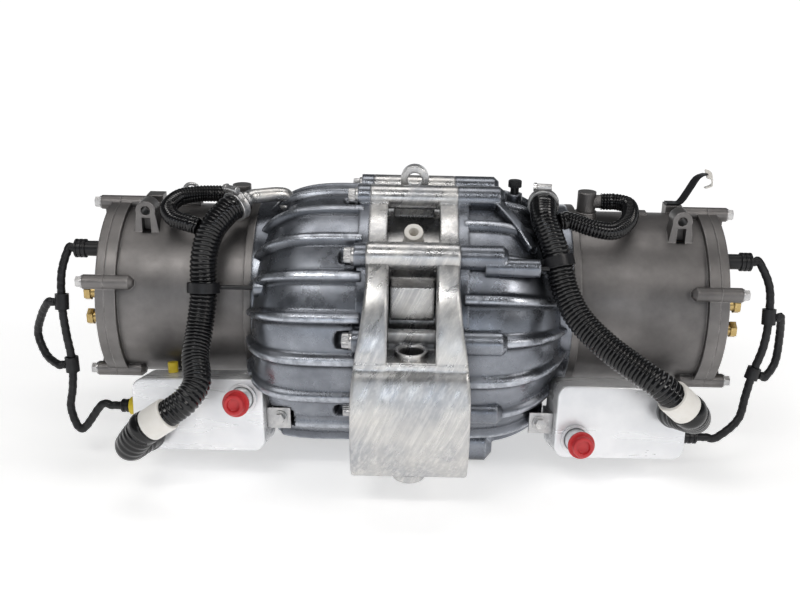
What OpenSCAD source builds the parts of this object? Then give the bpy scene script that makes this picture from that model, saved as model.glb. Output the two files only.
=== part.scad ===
// Twin-motor electric drive unit: two coaxial motors, two gear cases, one centre casting.
// Millimetres. The origin is in the front mount bore; +X is the right-hand side seen from the
// front, -Y is the front and +Z is up. Lengths named *_x are measured from the mid-plane.

/* [Layout] */
// distance from the front mount bore back to the motor axis
axle_y = 190; // [180:1:210]
// joint face between the centre casting and a gear case
seam_x = 50; // [46:1:56]
// outer end of a gear case
case_x = 184; // [180:1:194]
// joint face between a motor housing and its end cover
cover_x = 352; // [348:1:380]

/* [Gears] */
// teeth of the rotor pinion
z_pinion = 24; // [22:1:26]
// teeth of the layshaft gear
z_wheel = 52; // [50:1:54]
// teeth of the layshaft pinion
z_second = 18; // [17:1:20]
// teeth of the output gear
z_output = 58; // [56:1:60]
// module of the first gear pair
gear_module = 2; // [1.9:0.05:2.1]
// play between the flanks of meshing teeth
gear_lash = 0.4; // [0.3:0.05:0.6]

/* [Gear case] */
// radius of the gear case dome
dome_r = 144; // [140:1:148]
// distance of the dome centre in front of the motor axis
dome_y = 20; // [14:1:26]
// distance of the dome centre below the motor axis
dome_z = 14; // [8:1:20]
// thickness of the cast walls
case_wall = 7; // [5:0.5:9]
// height of the cooling ribs
rib_h = 6; // [4:0.5:9]
// thickness of the cooling ribs
rib_t = 5; // [4:0.5:8]
// number of cooling ribs around the dome
rib_n = 20; // [15:1:24]
// thickness of the case joint flange
flange_t = 12; // [10:1:15]
// number of case bolts
bolt_n = 10; // [8:1:12]
// shank radius of the case bolts
bolt_r = 5; // [4:0.5:6]

/* [Motor] */
// outside radius of the motor barrel
barrel_r = 104; // [100:1:108]
// wall of the motor barrel
barrel_wall = 7; // [5:0.5:9]
// radius of the rotor core
rotor_r = 60; // [54:1:64]
// gap between rotor and stator
air_gap = 0.8; // [0.6:0.1:1.2]
// length of the stator and rotor cores
core_len = 140; // [120:1:150]
// number of stator slots
slot_n = 24; // [18:6:36]
// radius of the output shaft
output_r = 14; // [12:0.5:14.5]
// radius of the socket in the end of the output shaft
socket_r = 10; // [7:0.5:10.5]
// depth of that socket
socket_depth = 40; // [25:1:60]

/* [Mount] */
// radius of the vertical mount bore
mount_r = 13; // [10:0.5:14]
// radius of the boss around the mount bore
mount_boss_r = 18; // [17:0.5:20]
// width of the mount snout
snout_w = 126; // [116:1:134]
// depth of the snout below the motor axis
snout_drop = 138; // [130:1:146]
// radius of the hole in a motor mounting lug
lug_hole_r = 5.5; // [4:0.5:6.5]
// radius of the hole in the lifting eye
eye_hole_r = 8.5; // [7:0.5:10]

/* [Coolers] */
// width of a cooler
cooler_w = 156; // [146:1:162]
// height of a cooler
cooler_h = 84; // [76:1:88]
// depth of the cooler plate pack
cooler_t = 45; // [36:1:48]
// number of plates in a cooler
plate_n = 9; // [6:1:12]
// upward tilt of a cooler face
cooler_pitch = 12; // [8:1:16]
// outward turn of a cooler face
cooler_yaw = 7; // [4:1:10]
// outside radius of a coolant port
port_r = 13; // [11:0.5:14]

/* [Hoses and leads] */
// outside radius of the coolant hoses
hose_r = 15.5; // [13:0.5:16]
// outside radius of the loop hoses
loop_r = 10; // [8:0.5:10.5]
// outside radius of the sensor leads
lead_r = 5; // [4:0.5:5.5]

/* [Hidden] */

$fn = 64;
run_gap = 0.05;
seat_gap = 0.02;
free_gap = 0.3;

// colours of the castings and fittings
cast_light = [0.72, 0.70, 0.66];
cast_dark = [0.42, 0.43, 0.46];
cast_warm = [0.46, 0.44, 0.42];
steel = [0.62, 0.63, 0.65];
bright = [0.84, 0.85, 0.86];
black = [0.06, 0.06, 0.07];
white = [0.90, 0.89, 0.86];
red = [0.75, 0.12, 0.12];
yellow = [0.90, 0.80, 0.10];
copper = [0.72, 0.42, 0.22];

// gear train
lay_a = gear_module * (z_pinion + z_wheel) / 2;
second_module = 2 * lay_a / (z_second + z_output);
pinion_tip = gear_module * (z_pinion / 2 + 1);
wheel_tip = gear_module * (z_wheel / 2 + 1);
second_tip = second_module * (z_second / 2 + 1);
output_tip = second_module * (z_output / 2 + 1);
pressure_angle = 20;
gear1_x = [58, 84];
gear2_x = [18, 44];
web_half = 3;

// shafts and bearings
rotor_shaft_r = gear_module * (z_pinion / 2 - 1.5);
rotor_bore_r = output_r + 1.5;
rotor_end_r = rotor_shaft_r - 1;
lay_r = 11;
lay_seat_r = second_module * (z_second / 2 - 1.25) + 0.5;
bulk_x = [100, 108];
rotor_brg_r = 38;
rotor_brg_x = [100, 116];
rotor_end_brg_r = 36;
rotor_end_brg_x = [cover_x - 14, cover_x];
lay_brg_x = [web_half + 1, web_half + 12];
lay_brg_r = 20;
lay_end_brg_x = [bulk_x[0] - 8, bulk_x[0] + 4];
lay_end_brg_r = 22;
out_brg_x = [web_half + 1, web_half + 13];
out_brg_r = 27;
out_end_brg_x = [cover_x + 6, cover_x + 18];
out_end_brg_r = 25;
seal_x = [cover_x + 22, cover_x + 30];
seal_r = 24;
hub_end_x = cover_x + 32;
shaft_end_x = cover_x + 40;
rotor_shaft_end_x = cover_x + 3;

// motor
core_x0 = (case_x + cover_x) / 2 - 33 - core_len / 2;
core_x1 = core_x0 + core_len;
stator_bore_r = rotor_r + air_gap;
stator_r = barrel_r - barrel_wall;
slot_depth = 22;
slot_w = 6;
overhang = 20;
collar_r = barrel_r + 8;

// gear case dome: super-ellipse of revolution
dome_n = 2.6;
dome_x0 = seam_x + flange_t;
dome_a = case_x - dome_x0;
dome_bands = 9;
bolt_ring_r = dome_r + 7;
bolt_head_r = bolt_r + 4.5;
drum_r = dome_r - 24;
bolt_phase = 7;
bolt_boss_r = 14;
long_boss_x = seam_x + 48;
gusset_at = [114, 64];
gusset_turn = 58;
gusset_len = 76;
drain_at = [-80, -164];
drain_r = 24;
drain_len = 42;
bolt_head_x = seam_x + flange_t + 3;

// end cover bolts
cover_angles = [22, 88, 150, 205, 262, 312];
cover_pcd = barrel_r + 4;
cover_boss_r = 8.5;
cover_bolt_r = 4;
cover_boss_x = [cover_x - 28, cover_x + 24];

// mount snout
snout_arc_r = 122;
snout_arc = [-110, -70];
ledge_z = -6;
boss_top = 4;
boss_drop = snout_drop + 12;
window_half = 26;
bore_back_y = -axle_y + mount_r + 0.5;
plate_x0 = 30;
flange_gap = 1.5;
arm_half = [49, 54, 60, snout_w / 2];

// coolers
cooler_x = 244;
cooler_y = -142;
cooler_z = -104;
cooler_roll = 4;
cooler_corner = 14;
plate_t = 3;
cap_at = [cooler_w / 2 - 24, cooler_h / 2 - 22];
stub_len = 24;
hose_stub = 12;
tab_reach = 28;
tab_y = [12, 15];
tab_z = -6;
tab_h = 24;

// lugs and eye
lug_x = cover_x - 41;
lug_y = [-56, -34];
bail_x = cover_x - 82;
lug_z = barrel_r + 9;
eye_y = -25;
eye_z = 150;
eye_base = drum_r - dome_z - 10;

// fittings that the hoses run to
pipe_foot = [150, -20, 112];
loop_foot = [205, -14, barrel_r + 8];
loop_end = [222, loop_foot[1], loop_foot[2] + 12];

// sensor sockets in the end covers and plugs of the sensor leads on the coolers
socket_body_r = 9;
socket_at = [-62, 68];
socket_end_x = cover_x + 42;
plug_local = [[-cooler_w / 2 - free_gap, 20, 4], [cooler_w / 2 + free_gap, 20, -20]];
plug_len = 22;

// hose and lead routes, in the frame of the motor axis
left_hose_path = [[-200, -50, 124], [-207, -59, 121], [-214, -68, 118], [-228, -92, 102],
  [-234, -112, 75], [-234, -124, 36], [-238, -136, 0], [-240, -156, -25], [-234, -180, -44],
  [-243, -196, -58], [-257, -200, -69], [-270.5, -198.5, -79], [-284, -197, -89]];
right_hose_path = [[150, -42, 130], [149, -52, 129], [148, -62, 128], [148, -88, 118],
  [158, -118, 91], [169, -137, 54], [184, -156, 29], [211, -181, 8], [242, -206, -8],
  [262, -218, -18], [278, -218, -32], [286, -214.5, -40], [294, -211, -48]];
left_loop_path = [[-243.1, -88.5, 105.4], [-248.8, -87.2, 106.7], [-254.5, -85.9, 108],
  [-274, -76, 111], [-284, -54, 117], [-276, -30, 123], [-256, -17, 124],
  loop_pt(-1, 17), loop_pt(-1, 8.5), loop_pt(-1, 0)];
right_loop_path = [[163.7, -86.1, 119.3], [169.6, -85.3, 119.8], [175.5, -84.6, 120.3],
  [203, -90, 113], [226, -85, 109], [243, -68, 113], [252, -44, 119], [252, -24, 123],
  loop_pt(1, 18), loop_pt(1, 9), loop_pt(1, 0)];
left_lead_path = [lead_pt(-1, free_gap), lead_pt(-1, 4), lead_pt(-1, 8), [-409, -74, 42],
  [-409, -84, 5], [-406, -88, -30], [-401, -92, -65], [-402, -97, -95], [-405, -101, -122],
  [-392, -107, -145], plug_pt(0, plug_len + 26), plug_pt(0, plug_len + 13),
  plug_pt(0, plug_len + free_gap)];
right_lead_path = [lead_pt(1, free_gap), lead_pt(1, 5), lead_pt(1, 10), [415, -76, 42],
  [416, -86, 5], [413, -90, -28], [404, -93, -60], [398, -97, -88], [390, -105, -116],
  plug_pt(1, plug_len + 26), plug_pt(1, plug_len + 13), plug_pt(1, plug_len + free_gap)];
left_branch_path = [[-417.4, -83.2, 8], [-421, -83.2, 8], [-425, -83.2, 8], [-438, -74, -12],
  [-448, -66, -40], [-436, -78, -62], [-418, -92, -68], [-414, -92, -68], [-410, -92, -68]];
right_branch_path = [[424.4, -85.2, 8], [427, -85.2, 8], [430, -85.2, 8], [434, -80, -18],
  [431, -86, -48], [419.4, -93, -64.3], [415.8, -93, -63.3], [412.1, -93, -62.3]];
strap_foot = [lug_x - 2, 26, barrel_r + 9.3];
strap_path = [for (p = [[0, 0, 0], [9, 0, 0], [18, 1, 1.2], [29, 8, 14.7], [40, 16, 28.7],
  [51, 20, 32.7]]) strap_foot + p];
tag_path = [for (p = [[51.6, 20.2, 32.7], [59, 21, 29.7], [61, 21, 18.7], [53, 21, 14.7]])
  strap_foot + p];

// helpers
function unit(v) = v / norm(v);
function loop_pt(s, d) = [s * (loop_end[0] + d), loop_end[1], loop_end[2]];
function turn_x(a, p) = [p[0], p[1] * cos(a) - p[2] * sin(a), p[1] * sin(a) + p[2] * cos(a)];
function turn_y(a, p) = [p[0] * cos(a) + p[2] * sin(a), p[1], -p[0] * sin(a) + p[2] * cos(a)];
function turn_z(a, p) = [p[0] * cos(a) - p[1] * sin(a), p[0] * sin(a) + p[1] * cos(a), p[2]];
function cooler_pt(s, p) = [s * cooler_x, cooler_y, cooler_z]
  + turn_z(s * cooler_yaw, turn_y(s * cooler_roll, turn_x(-cooler_pitch, p)));
function ring_pt(a) = [-dome_y - bolt_ring_r * cos(a), -dome_z + bolt_ring_r * sin(a)];
function lead_pt(s, d) = [s * (socket_end_x + d), socket_at[0], socket_at[1]];
function cap_local(s) = [-s * cap_at[0], -s * cap_at[1]];
function hose_local(s) = [s * cap_at[0], s * cap_at[1]];

module place() {
  translate([0, axle_y, 0]) children();
}

module side(s) {
  if (s < 0) mirror([1, 0, 0]) children();
  else children();
}

module sides() {
  side(1) children();
  side(-1) children();
}

module bar_x(x, r, y = 0, z = 0) {
  translate([x[0], y, z]) rotate([0, 90, 0]) cylinder(h = x[1] - x[0], r = r);
}

module cone_x(x, r1, r2) {
  translate([x[0], 0, 0]) rotate([0, 90, 0]) cylinder(h = x[1] - x[0], r1 = r1, r2 = r2);
}

module ring_x(x, ro, ri, y = 0, z = 0) {
  difference() {
    bar_x(x, ro, y, z);
    bar_x([x[0] - 1, x[1] + 1], ri, y, z);
  }
}

// a flat outline in Y and Z, drawn out along X
module slab_x(x) {
  translate([x[0], 0, 0]) rotate([90, 0, 90]) linear_extrude(x[1] - x[0]) children();
}

// a flat outline in X and Z, drawn out along Y
module slab_y(y) {
  translate([0, y[1], 0]) rotate([90, 0, 0]) linear_extrude(y[1] - y[0]) children();
}

module box(x, y, z) {
  translate([x[0], y[0], z[0]]) cube([x[1] - x[0], y[1] - y[0], z[1] - z[0]]);
}

module rod(a, b, r) {
  d = b - a;
  translate(a) rotate([0, acos(d[2] / norm(d)), atan2(d[1], d[0])]) cylinder(h = norm(d), r = r);
}

module sleeve(a, b, ro, ri) {
  e = unit(b - a);
  difference() {
    rod(a, b, ro);
    rod(a - e, b + e, ri);
  }
}

// swept tubes along smoothed routes
function spline(a, b, c, d, t) = 0.5 * (2 * b + (c - a) * t
  + (2 * a - 5 * b + 4 * c - d) * t * t + (3 * b - a - 3 * c + d) * t * t * t);
function smooth(p, n) = concat([for (i = [0:len(p) - 2]) for (j = [0:n - 1])
  spline(p[max(i - 1, 0)], p[i], p[i + 1], p[min(i + 2, len(p) - 1)], j / n)], [p[len(p) - 1]]);
function tangent(p, i) = unit(p[min(i + 1, len(p) - 1)] - p[max(i - 1, 0)]);
function carry(p, i, ref) = i == 0 ? unit(cross(tangent(p, 0), ref)) :
  let (t = tangent(p, i), n = carry(p, i - 1, ref)) unit(n - (n * t) * t);
function round_section(r, n) = [for (i = [0:n - 1]) r * [cos(360 * i / n), sin(360 * i / n)]];

module sweep(path, section, ref = [0.3, 0.5, 0.8]) {
  m = len(section);
  last = len(path) - 1;
  pts = [for (i = [0:last]) let (t = tangent(path, i), n = carry(path, i, ref), b = cross(t, n))
    for (s = section) path[i] + s[0] * n + s[1] * b];
  walls = [for (i = [0:last - 1]) for (j = [0:m - 1]) let (k = (j + 1) % m)
    each [[i * m + j, (i + 1) * m + j, (i + 1) * m + k], [i * m + j, (i + 1) * m + k, i * m + k]]];
  polyhedron(concat(pts), concat(walls, [[for (j = [0:m - 1]) j]],
    [[for (j = [0:m - 1]) last * m + m - 1 - j]]));
}

module hose(path, r, n = 2, sides = 10) {
  sweep(smooth(path, n), round_section(r, sides));
}

// involute spur gear outline, with straight flanks below the base circle
function inv_deg(r, rb) = r > rb ? tan(acos(rb / r)) * 180 / PI - acos(rb / r) : 0;
function half_tooth(r, rp, rb, z) = 90 / z - gear_lash / 2 / rp * 90 / PI
  + inv_deg(rp, rb) - inv_deg(r, rb);
function gear_radii(z, m) = let (rp = m * z / 2, rb = rp * cos(pressure_angle), rr = rp - 1.25 * m)
  [rr, max(rb, rr + 0.1), rp, rp + m];

module gear(z, m) {
  rp = m * z / 2;
  rb = rp * cos(pressure_angle);
  rad = gear_radii(z, m);
  polygon([for (k = [0:z - 1]) for (i = [0:7]) let (q = i < 4 ? i : 7 - i, r = rad[q],
    a = 360 * k / z + (i < 4 ? -1 : 1) * half_tooth(r, rp, rb, z)) r * [cos(a), sin(a)]]);
}

// the dome as a stack of cone bands, grown by g
module dome(g, x_start) {
  r = dome_r + g;
  a = dome_a + g;
  prof = [for (i = [0:dome_bands]) let (f = 90 * i / dome_bands)
    [r * pow(cos(f), 2 / dome_n), dome_x0 + a * pow(sin(f), 2 / dome_n)]];
  translate([0, -dome_y, -dome_z]) rotate([0, 90, 0]) rotate_extrude()
    polygon(concat([[0, x_start], [r, x_start]], prof));
}

module at_bolts() {
  for (k = [0:bolt_n - 1]) {
    p = ring_pt(bolt_phase + 360 * k / bolt_n);
    translate([0, p[0], p[1]]) children();
  }
}

module at_cover_bolts() {
  for (a = cover_angles) translate([0, -cover_pcd * cos(a), cover_pcd * sin(a)]) children();
}

// side view and front view of the arms and snout
module snout_outline() {
  intersection() {
    translate(snout_arc) circle(r = snout_arc_r);
    translate([-240, -snout_drop]) square([130, snout_drop + ledge_z]);
  }
  polygon([[-214, ledge_z - 1], [-212, 10], [-206, 30], [-196, 54], [-182, 74], [-162, 94],
    [-142, 104], [-125, 104], [-110, 80], [-110, ledge_z - 1]]);
}

module snout_front() {
  polygon([[-arm_half[0], 120], [-arm_half[0], 72], [-arm_half[1], 30], [-arm_half[2], -4],
    [-arm_half[3], -34], [-arm_half[3], -snout_drop - 1], [arm_half[3], -snout_drop - 1],
    [arm_half[3], -34], [arm_half[2], -4], [arm_half[1], 30], [arm_half[0], 72],
    [arm_half[0], 120]]);
}

// arms and mount snout, clear of the gear cases beside them
module snout() {
  difference() {
    intersection() {
      slab_x([-snout_w / 2, snout_w / 2]) snout_outline();
      slab_y([-260, 0]) snout_front();
    }
    sides() bar_x([seam_x, seam_x + 40], dome_r + 6 + flange_gap, -dome_y, -dome_z);
    sides() at_bolts() bar_x([seam_x, seam_x + 40], bolt_boss_r + flange_gap);
    box([-window_half, window_half], [-260, -100], [ledge_z + 4, 140]);
  }
}

// centre casting with lifting eye, arms and mount snout
module center_housing() color(cast_light) place() difference() {
  union() {
    difference() {
      union() {
        bar_x([-seam_x, seam_x], drum_r, -dome_y, -dome_z);
        sides() bar_x([plate_x0, seam_x], dome_r + 6, -dome_y, -dome_z);
        at_bolts() bar_x([-seam_x, seam_x], bolt_boss_r);
        snout();
        box([-24, 24], [-146, -100], [20, 58]);
        slab_y([eye_y - 7, eye_y + 7]) {
          translate([0, eye_z]) circle(r = eye_hole_r + 8);
          polygon([[-24, eye_base], [24, eye_base], [24, eye_base + 22], [13, eye_z],
            [-13, eye_z], [-24, eye_base + 22]]);
        }
        drain_boss([0, seam_x]);
      }
      sides() bar_x([web_half, seam_x + 1], drum_r - case_wall, -dome_y, -dome_z);
      box([-window_half, window_half], [-260, bore_back_y], [ledge_z + 4, 140]);
    }
    translate([0, -axle_y, -boss_drop]) cylinder(h = boss_drop + boss_top, r = mount_boss_r);
    sides() bar_x([0, out_brg_x[1]], out_brg_r + 6);
    sides() bar_x([0, lay_brg_x[1]], lay_brg_r + 5, -lay_a);
  }
  sides() bar_x([out_brg_x[0], seam_x], out_brg_r + seat_gap);
  sides() bar_x([lay_brg_x[0], lay_brg_x[1] + 1], lay_brg_r + seat_gap, -lay_a);
  at_bolts() bar_x([-seam_x - 20, seam_x + 20], bolt_r + free_gap);
  translate([0, -axle_y, -boss_drop - 1]) cylinder(h = boss_drop + boss_top + 2, r = mount_r);
  translate([0, -axle_y, boss_top - 2]) cylinder(h = 2.01, r1 = mount_r, r2 = mount_r + 2);
  slab_y([eye_y - 8, eye_y + 8]) translate([0, eye_z]) circle(r = eye_hole_r);
  rod(tube_pt(tube_in - 8), tube_pt(tube_out), tube_r + seat_gap);
}

// oil-level tube, radial from the motor axis in the pocket between the cross tubes
tube_r = 11;
tube_angle = 49;
tube_in = drum_r - 5;
tube_out = drum_r + 20;
function tube_pt(d) = d * [0, -cos(tube_angle), sin(tube_angle)];

module level_tube() color(white) place() sleeve(tube_pt(tube_in), tube_pt(tube_out), tube_r, 5);

// a ribbed gear case; the long bosses take the bolt threads, the short ones the heads
module gear_case(s, boss_x) color(cast_dark) place() side(s) difference() {
  union() {
    difference() {
      union() {
        dome(0, seam_x);
        bar_x([bulk_x[0] - 4, case_x], collar_r);
        bar_x([seam_x, seam_x + flange_t], dome_r + 6, -dome_y, -dome_z);
        at_bolts() bar_x([seam_x, boss_x], bolt_boss_r);
        if (boss_x == long_boss_x) at_bolts() cone_x([boss_x, boss_x + 6], bolt_boss_r, bolt_boss_r - 5);
        intersection() {
          dome(rib_h, seam_x);
          ribs(s);
        }
        if (s > 0) {
          intersection() {
            dome(rib_h + 5, seam_x);
            gusset();
          }
          drain_boss([seam_x, seam_x + drain_len]);
          translate([0, drain_at[0], drain_at[1]])
            cone_x([seam_x + drain_len, seam_x + drain_len + 8], drain_r, drain_r - 9);
        }
        translate([pipe_foot[0], pipe_foot[1], 60]) cylinder(h = pipe_foot[2] - 60, r = 13);
        cooler_boss();
        clip_boss(s < 0 ? clip_seats[0] : clip_seats[1]);
        if (s > 0)
          translate([breather_at[0], breather_at[1], 60]) cylinder(h = breather_at[2] - 60, r = 9);
      }
      intersection() {
        dome(-case_wall, seam_x - 1);
        union() {
          box([seam_x - 2, bulk_x[0]], [-200, 200], [-200, 200]);
          box([bulk_x[1], case_x], [-200, 200], [-200, 200]);
        }
      }
      bar_x([bulk_x[1], case_x + 1], stator_r);
    }
    bar_x([bulk_x[0] - 4, rotor_brg_x[1]], rotor_brg_r + 7);
    bar_x([lay_end_brg_x[0], bulk_x[1]], lay_end_brg_r + 6, -lay_a);
  }
  bar_x([rotor_brg_x[0], rotor_brg_x[1] + 1], rotor_brg_r + seat_gap);
  bar_x([bulk_x[0] - 5, bulk_x[1]], rotor_shaft_r + 3);
  bar_x([lay_end_brg_x[0] - 1, lay_end_brg_x[1]], lay_end_brg_r + seat_gap, -lay_a);
  at_bolts() bar_x([seam_x - 1, boss_x + (boss_x == long_boss_x ? -4 : 20)], bolt_r + free_gap);
  translate([pipe_foot[0], pipe_foot[1], pipe_foot[2] - 40]) cylinder(h = 41, r = 6);
  translate(pipe_foot) cylinder(h = 20, r = 13.5);
  if (s > 0) rod(right_hose_path[0], right_hose_path[2], hose_r + 2.5);
  cooler_boss_hole();
  in_cooler(1) box([-cooler_w / 2 - 5, 0], [-2, cooler_t + plate_t + 2], [-cooler_h / 2, cooler_h / 2 + 3]);
  if (boss_x == bolt_head_x) at_bolts() bar_x([boss_x, boss_x + 26], bolt_head_r + 1);
}

// ribs around the dome, in step with the long bosses or midway between the short ones
module ribs(s) {
  step = 360 / rib_n;
  for (k = [0:rib_n - 1]) on_dome(bolt_phase + (s < 0 ? step / 2 : 0) + k * step)
    box([seam_x + 2, case_x + rib_h + 1], [-dome_r - 20, -70], [-rib_t / 2, rib_t / 2]);
}

module on_dome(a) {
  translate([0, -dome_y, -dome_z]) rotate([-a, 0, 0]) children();
}

// web that sweeps from the top boss of the right gear case down to its outer end
module gusset() {
  on_dome(gusset_at[1]) translate([gusset_at[0], 0, 0]) rotate([0, gusset_turn, 0])
    box([-gusset_len / 2, gusset_len / 2], [-dome_r - 20, -70], [-rib_t, rib_t]);
}

// drain boss below the dome, half in the centre casting and half in the right gear case
module drain_boss(x) {
  bar_x(x, drain_r, drain_at[0], drain_at[1]);
}

function tab_x() = cooler_w / 2 + tab_reach - 12;
function tab_pt(y) = cooler_pt(1, [-tab_x(), y, tab_z]);

module cooler_boss() {
  rod(tab_pt(tab_y[1] + seat_gap), tab_pt(tab_y[1] + 44), 9);
}

module cooler_boss_hole() {
  rod(tab_pt(tab_y[0]), tab_pt(tab_y[1] + 24), 4 + free_gap);
}

// boss that takes the stud of the hose clip
clip_seats = [[-118, 44, 178], [-136, 80, 139]];
clip_boss_r = 10;
clip_reach = [217.5, 149.4];

module clip_boss(c) {
  bar_x([c[2] - 60, c[2]], clip_boss_r, c[0], c[1]);
}

module left_gear_case() gear_case(-1, bolt_head_x);

module right_gear_case() gear_case(1, long_boss_x);

// motor barrel with flange, bolt bosses, mounting lug and the feet for hoses and cooler
module motor_housing(s) color(cast_warm) place() side(s) difference() {
  union() {
    bar_x([case_x, cover_x], barrel_r);
    bar_x([case_x, case_x + 9], collar_r);
    bar_x([cover_x - 13, cover_x], cover_pcd + 3);
    at_cover_bolts() bar_x([cover_boss_x[0], cover_x], cover_boss_r);
    at_cover_bolts() cone_x([cover_boss_x[0] - 5, cover_boss_x[0]], cover_boss_r - 4, cover_boss_r);
    slab_y(lug_y) translate([lug_x, 0]) {
      translate([0, lug_z]) circle(r = lug_hole_r + 6);
      polygon([[-17, 70], [17, 70], [lug_hole_r + 5, lug_z], [-lug_hole_r - 5, lug_z]]);
    }
    translate([loop_foot[0], loop_foot[1], 60]) cylinder(h = loop_foot[2] - 60, r = 13);
    rod(cooler_pt(1, [40, cooler_t + plate_t, 30]), cooler_pt(1, [40, cooler_t + 70, 30]), 10);
    box([bail_x - 12, bail_x + 12], [0, 14], [60, barrel_r + 3]);
    box([lug_x - 3, lug_x + 17], [16, 36], [60, barrel_r + 8]);
  }
  bar_x([case_x - 1, cover_x + 1], stator_r);
  slab_y([lug_y[0] - 1, lug_y[1] + 1]) translate([lug_x, lug_z]) circle(r = lug_hole_r);
  box([lug_x - 5, lug_x + 5], [lug_y[0] - 1, lug_y[0] + 12], [barrel_r - 18, lug_z - lug_hole_r - 3]);
  at_cover_bolts() bar_x([cover_boss_x[0] + 3, cover_x + 1], cover_bolt_r + free_gap);
}

module left_motor_housing() motor_housing(-1);

module right_motor_housing() motor_housing(1);

// end cover with bearing seats, hub and ribs
module end_cover(s) color(cast_warm) place() side(s) difference() {
  union() {
    bar_x([cover_x, cover_x + 10], cover_pcd + 3);
    at_cover_bolts() bar_x([cover_x, cover_boss_x[1]], cover_boss_r);
    cone_x([cover_x + 10, cover_x + 20], barrel_r - 6, 70);
    bar_x([rotor_end_brg_x[0] - 2, hub_end_x], rotor_end_brg_r + 6);
    bar_x([cover_x - 8, cover_x], stator_r - seat_gap);
    for (a = cover_angles) rotate([-a, 0, 0])
      box([cover_x + 8, cover_x + 20], [-cover_pcd, -30], [-3, 3]);
  }
  difference() {
    bar_x([cover_x - 9, cover_x + 3], stator_r - 7);
    bar_x([cover_x - 20, cover_x + 4], rotor_end_brg_r + 6);
  }
  bar_x([rotor_end_brg_x[0] - 3, rotor_end_brg_x[1]], rotor_end_brg_r + seat_gap);
  bar_x([rotor_end_brg_x[1] - 1, out_end_brg_x[0] + 1], rotor_end_r + 2);
  bar_x([out_end_brg_x[0], out_end_brg_x[1]], out_end_brg_r + seat_gap);
  bar_x([out_end_brg_x[0], hub_end_x + 1], seal_r + seat_gap);
  at_cover_bolts() bar_x([cover_x - 1, cover_boss_x[1] + 1], cover_bolt_r + free_gap);
  bar_x([cover_x + 4, cover_x + 40], plug_r + seat_gap, plug_at[0][0], plug_at[0][1]);
  bar_x([cover_x + 4, cover_x + 40], plug_r + seat_gap, plug_at[1][0], plug_at[1][1]);
  bar_x([cover_x + 6, cover_x + 40], socket_body_r + seat_gap, socket_at[0], socket_at[1]);
}

module left_end_cover() end_cover(-1);

module right_end_cover() end_cover(1);

// flanged bolts through the centre casting into the right gear case
module case_bolts() color(steel) place() at_bolts() {
  bar_x([-bolt_head_x - 3, long_boss_x - 8], bolt_r);
  bar_x([-bolt_head_x - 3, -bolt_head_x], bolt_head_r);
  translate([-bolt_head_x - 10, 0, 0]) rotate([0, 90, 0]) cylinder(h = 7, r = bolt_r + 2.5, $fn = 12);
}

module cover_bolts() color(steel) place() sides() at_cover_bolts() {
  bar_x([cover_boss_x[0] + 6, cover_boss_x[1] + 2], cover_bolt_r);
  bar_x([cover_boss_x[1], cover_boss_x[1] + 2], cover_bolt_r + 3.5);
  translate([cover_boss_x[1] + 2, 0, 0]) rotate([0, 90, 0]) cylinder(h = 6, r = 6.5, $fn = 6);
}

// motors
module at_slots() {
  for (k = [0:slot_n - 1]) rotate([360 * k / slot_n, 0, 0]) children();
}

module stator_core(s) color(steel) place() side(s) difference() {
  ring_x([core_x0, core_x1], stator_r - seat_gap, stator_bore_r);
  at_slots() box([core_x0 - 1, core_x1 + 1], [-slot_w / 2, slot_w / 2],
    [stator_bore_r - 1, stator_bore_r + slot_depth]);
}

module left_stator_core() stator_core(-1);

module right_stator_core() stator_core(1);

module stator_winding(s) color(copper) place() side(s) {
  ring_x([core_x0 - overhang, core_x0 - 0.1], stator_bore_r + slot_depth + 6, stator_bore_r + 2);
  ring_x([core_x1 + 0.1, core_x1 + overhang], stator_bore_r + slot_depth + 6, stator_bore_r + 2);
  at_slots() box([core_x0 - 1, core_x1 + 1], [-slot_w / 2 + free_gap, slot_w / 2 - free_gap],
    [stator_bore_r + 3, stator_bore_r + slot_depth - free_gap]);
}

module left_stator_winding() stator_winding(-1);

module right_stator_winding() stator_winding(1);

module rotor_core(s) color(steel) place() side(s)
  ring_x([core_x0, core_x1], rotor_r, rotor_shaft_r + seat_gap);

module left_rotor_core() rotor_core(-1);

module right_rotor_core() rotor_core(1);

// hollow rotor shaft with its pinion and a shoulder for the core
module rotor_shaft(s) color(bright) place() side(s) difference() {
  union() {
    slab_x(gear1_x) rotate(180) gear(z_pinion, gear_module);
    bar_x([gear1_x[1] - 1, rotor_end_brg_x[0] - 4], rotor_shaft_r);
    bar_x([rotor_end_brg_x[0] - 5, rotor_shaft_end_x], rotor_end_r);
    bar_x([core_x1, core_x1 + 8], rotor_shaft_r + 6);
  }
  bar_x([gear1_x[0] - 1, rotor_shaft_end_x + 1], rotor_bore_r);
}

module left_rotor_shaft() rotor_shaft(-1);

module right_rotor_shaft() rotor_shaft(1);

// layshaft with the second pinion cut on it
module layshaft(s) color(bright) place() side(s) translate([0, -lay_a, 0]) {
  slab_x([gear2_x[0], gear2_x[1]]) rotate(180 / z_second) gear(z_second, second_module);
  bar_x([lay_brg_x[0], lay_end_brg_x[1]], lay_r);
  bar_x([gear2_x[1] + 3, gear1_x[1] + 3], lay_seat_r);
}

module left_layshaft() layshaft(-1);

module right_layshaft() layshaft(1);

module layshaft_gear(s) color(steel) place() side(s) translate([0, -lay_a, 0]) difference() {
  slab_x(gear1_x) rotate(180 / z_wheel) gear(z_wheel, gear_module);
  bar_x([gear1_x[0] - 1, gear1_x[1] + 1], lay_seat_r + seat_gap);
  for (x = [gear1_x[0] - 8, gear1_x[1] - 8]) ring_x([x, x + 16], wheel_tip - 12, lay_seat_r + 8);
}

module left_layshaft_gear() layshaft_gear(-1);

module right_layshaft_gear() layshaft_gear(1);

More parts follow.
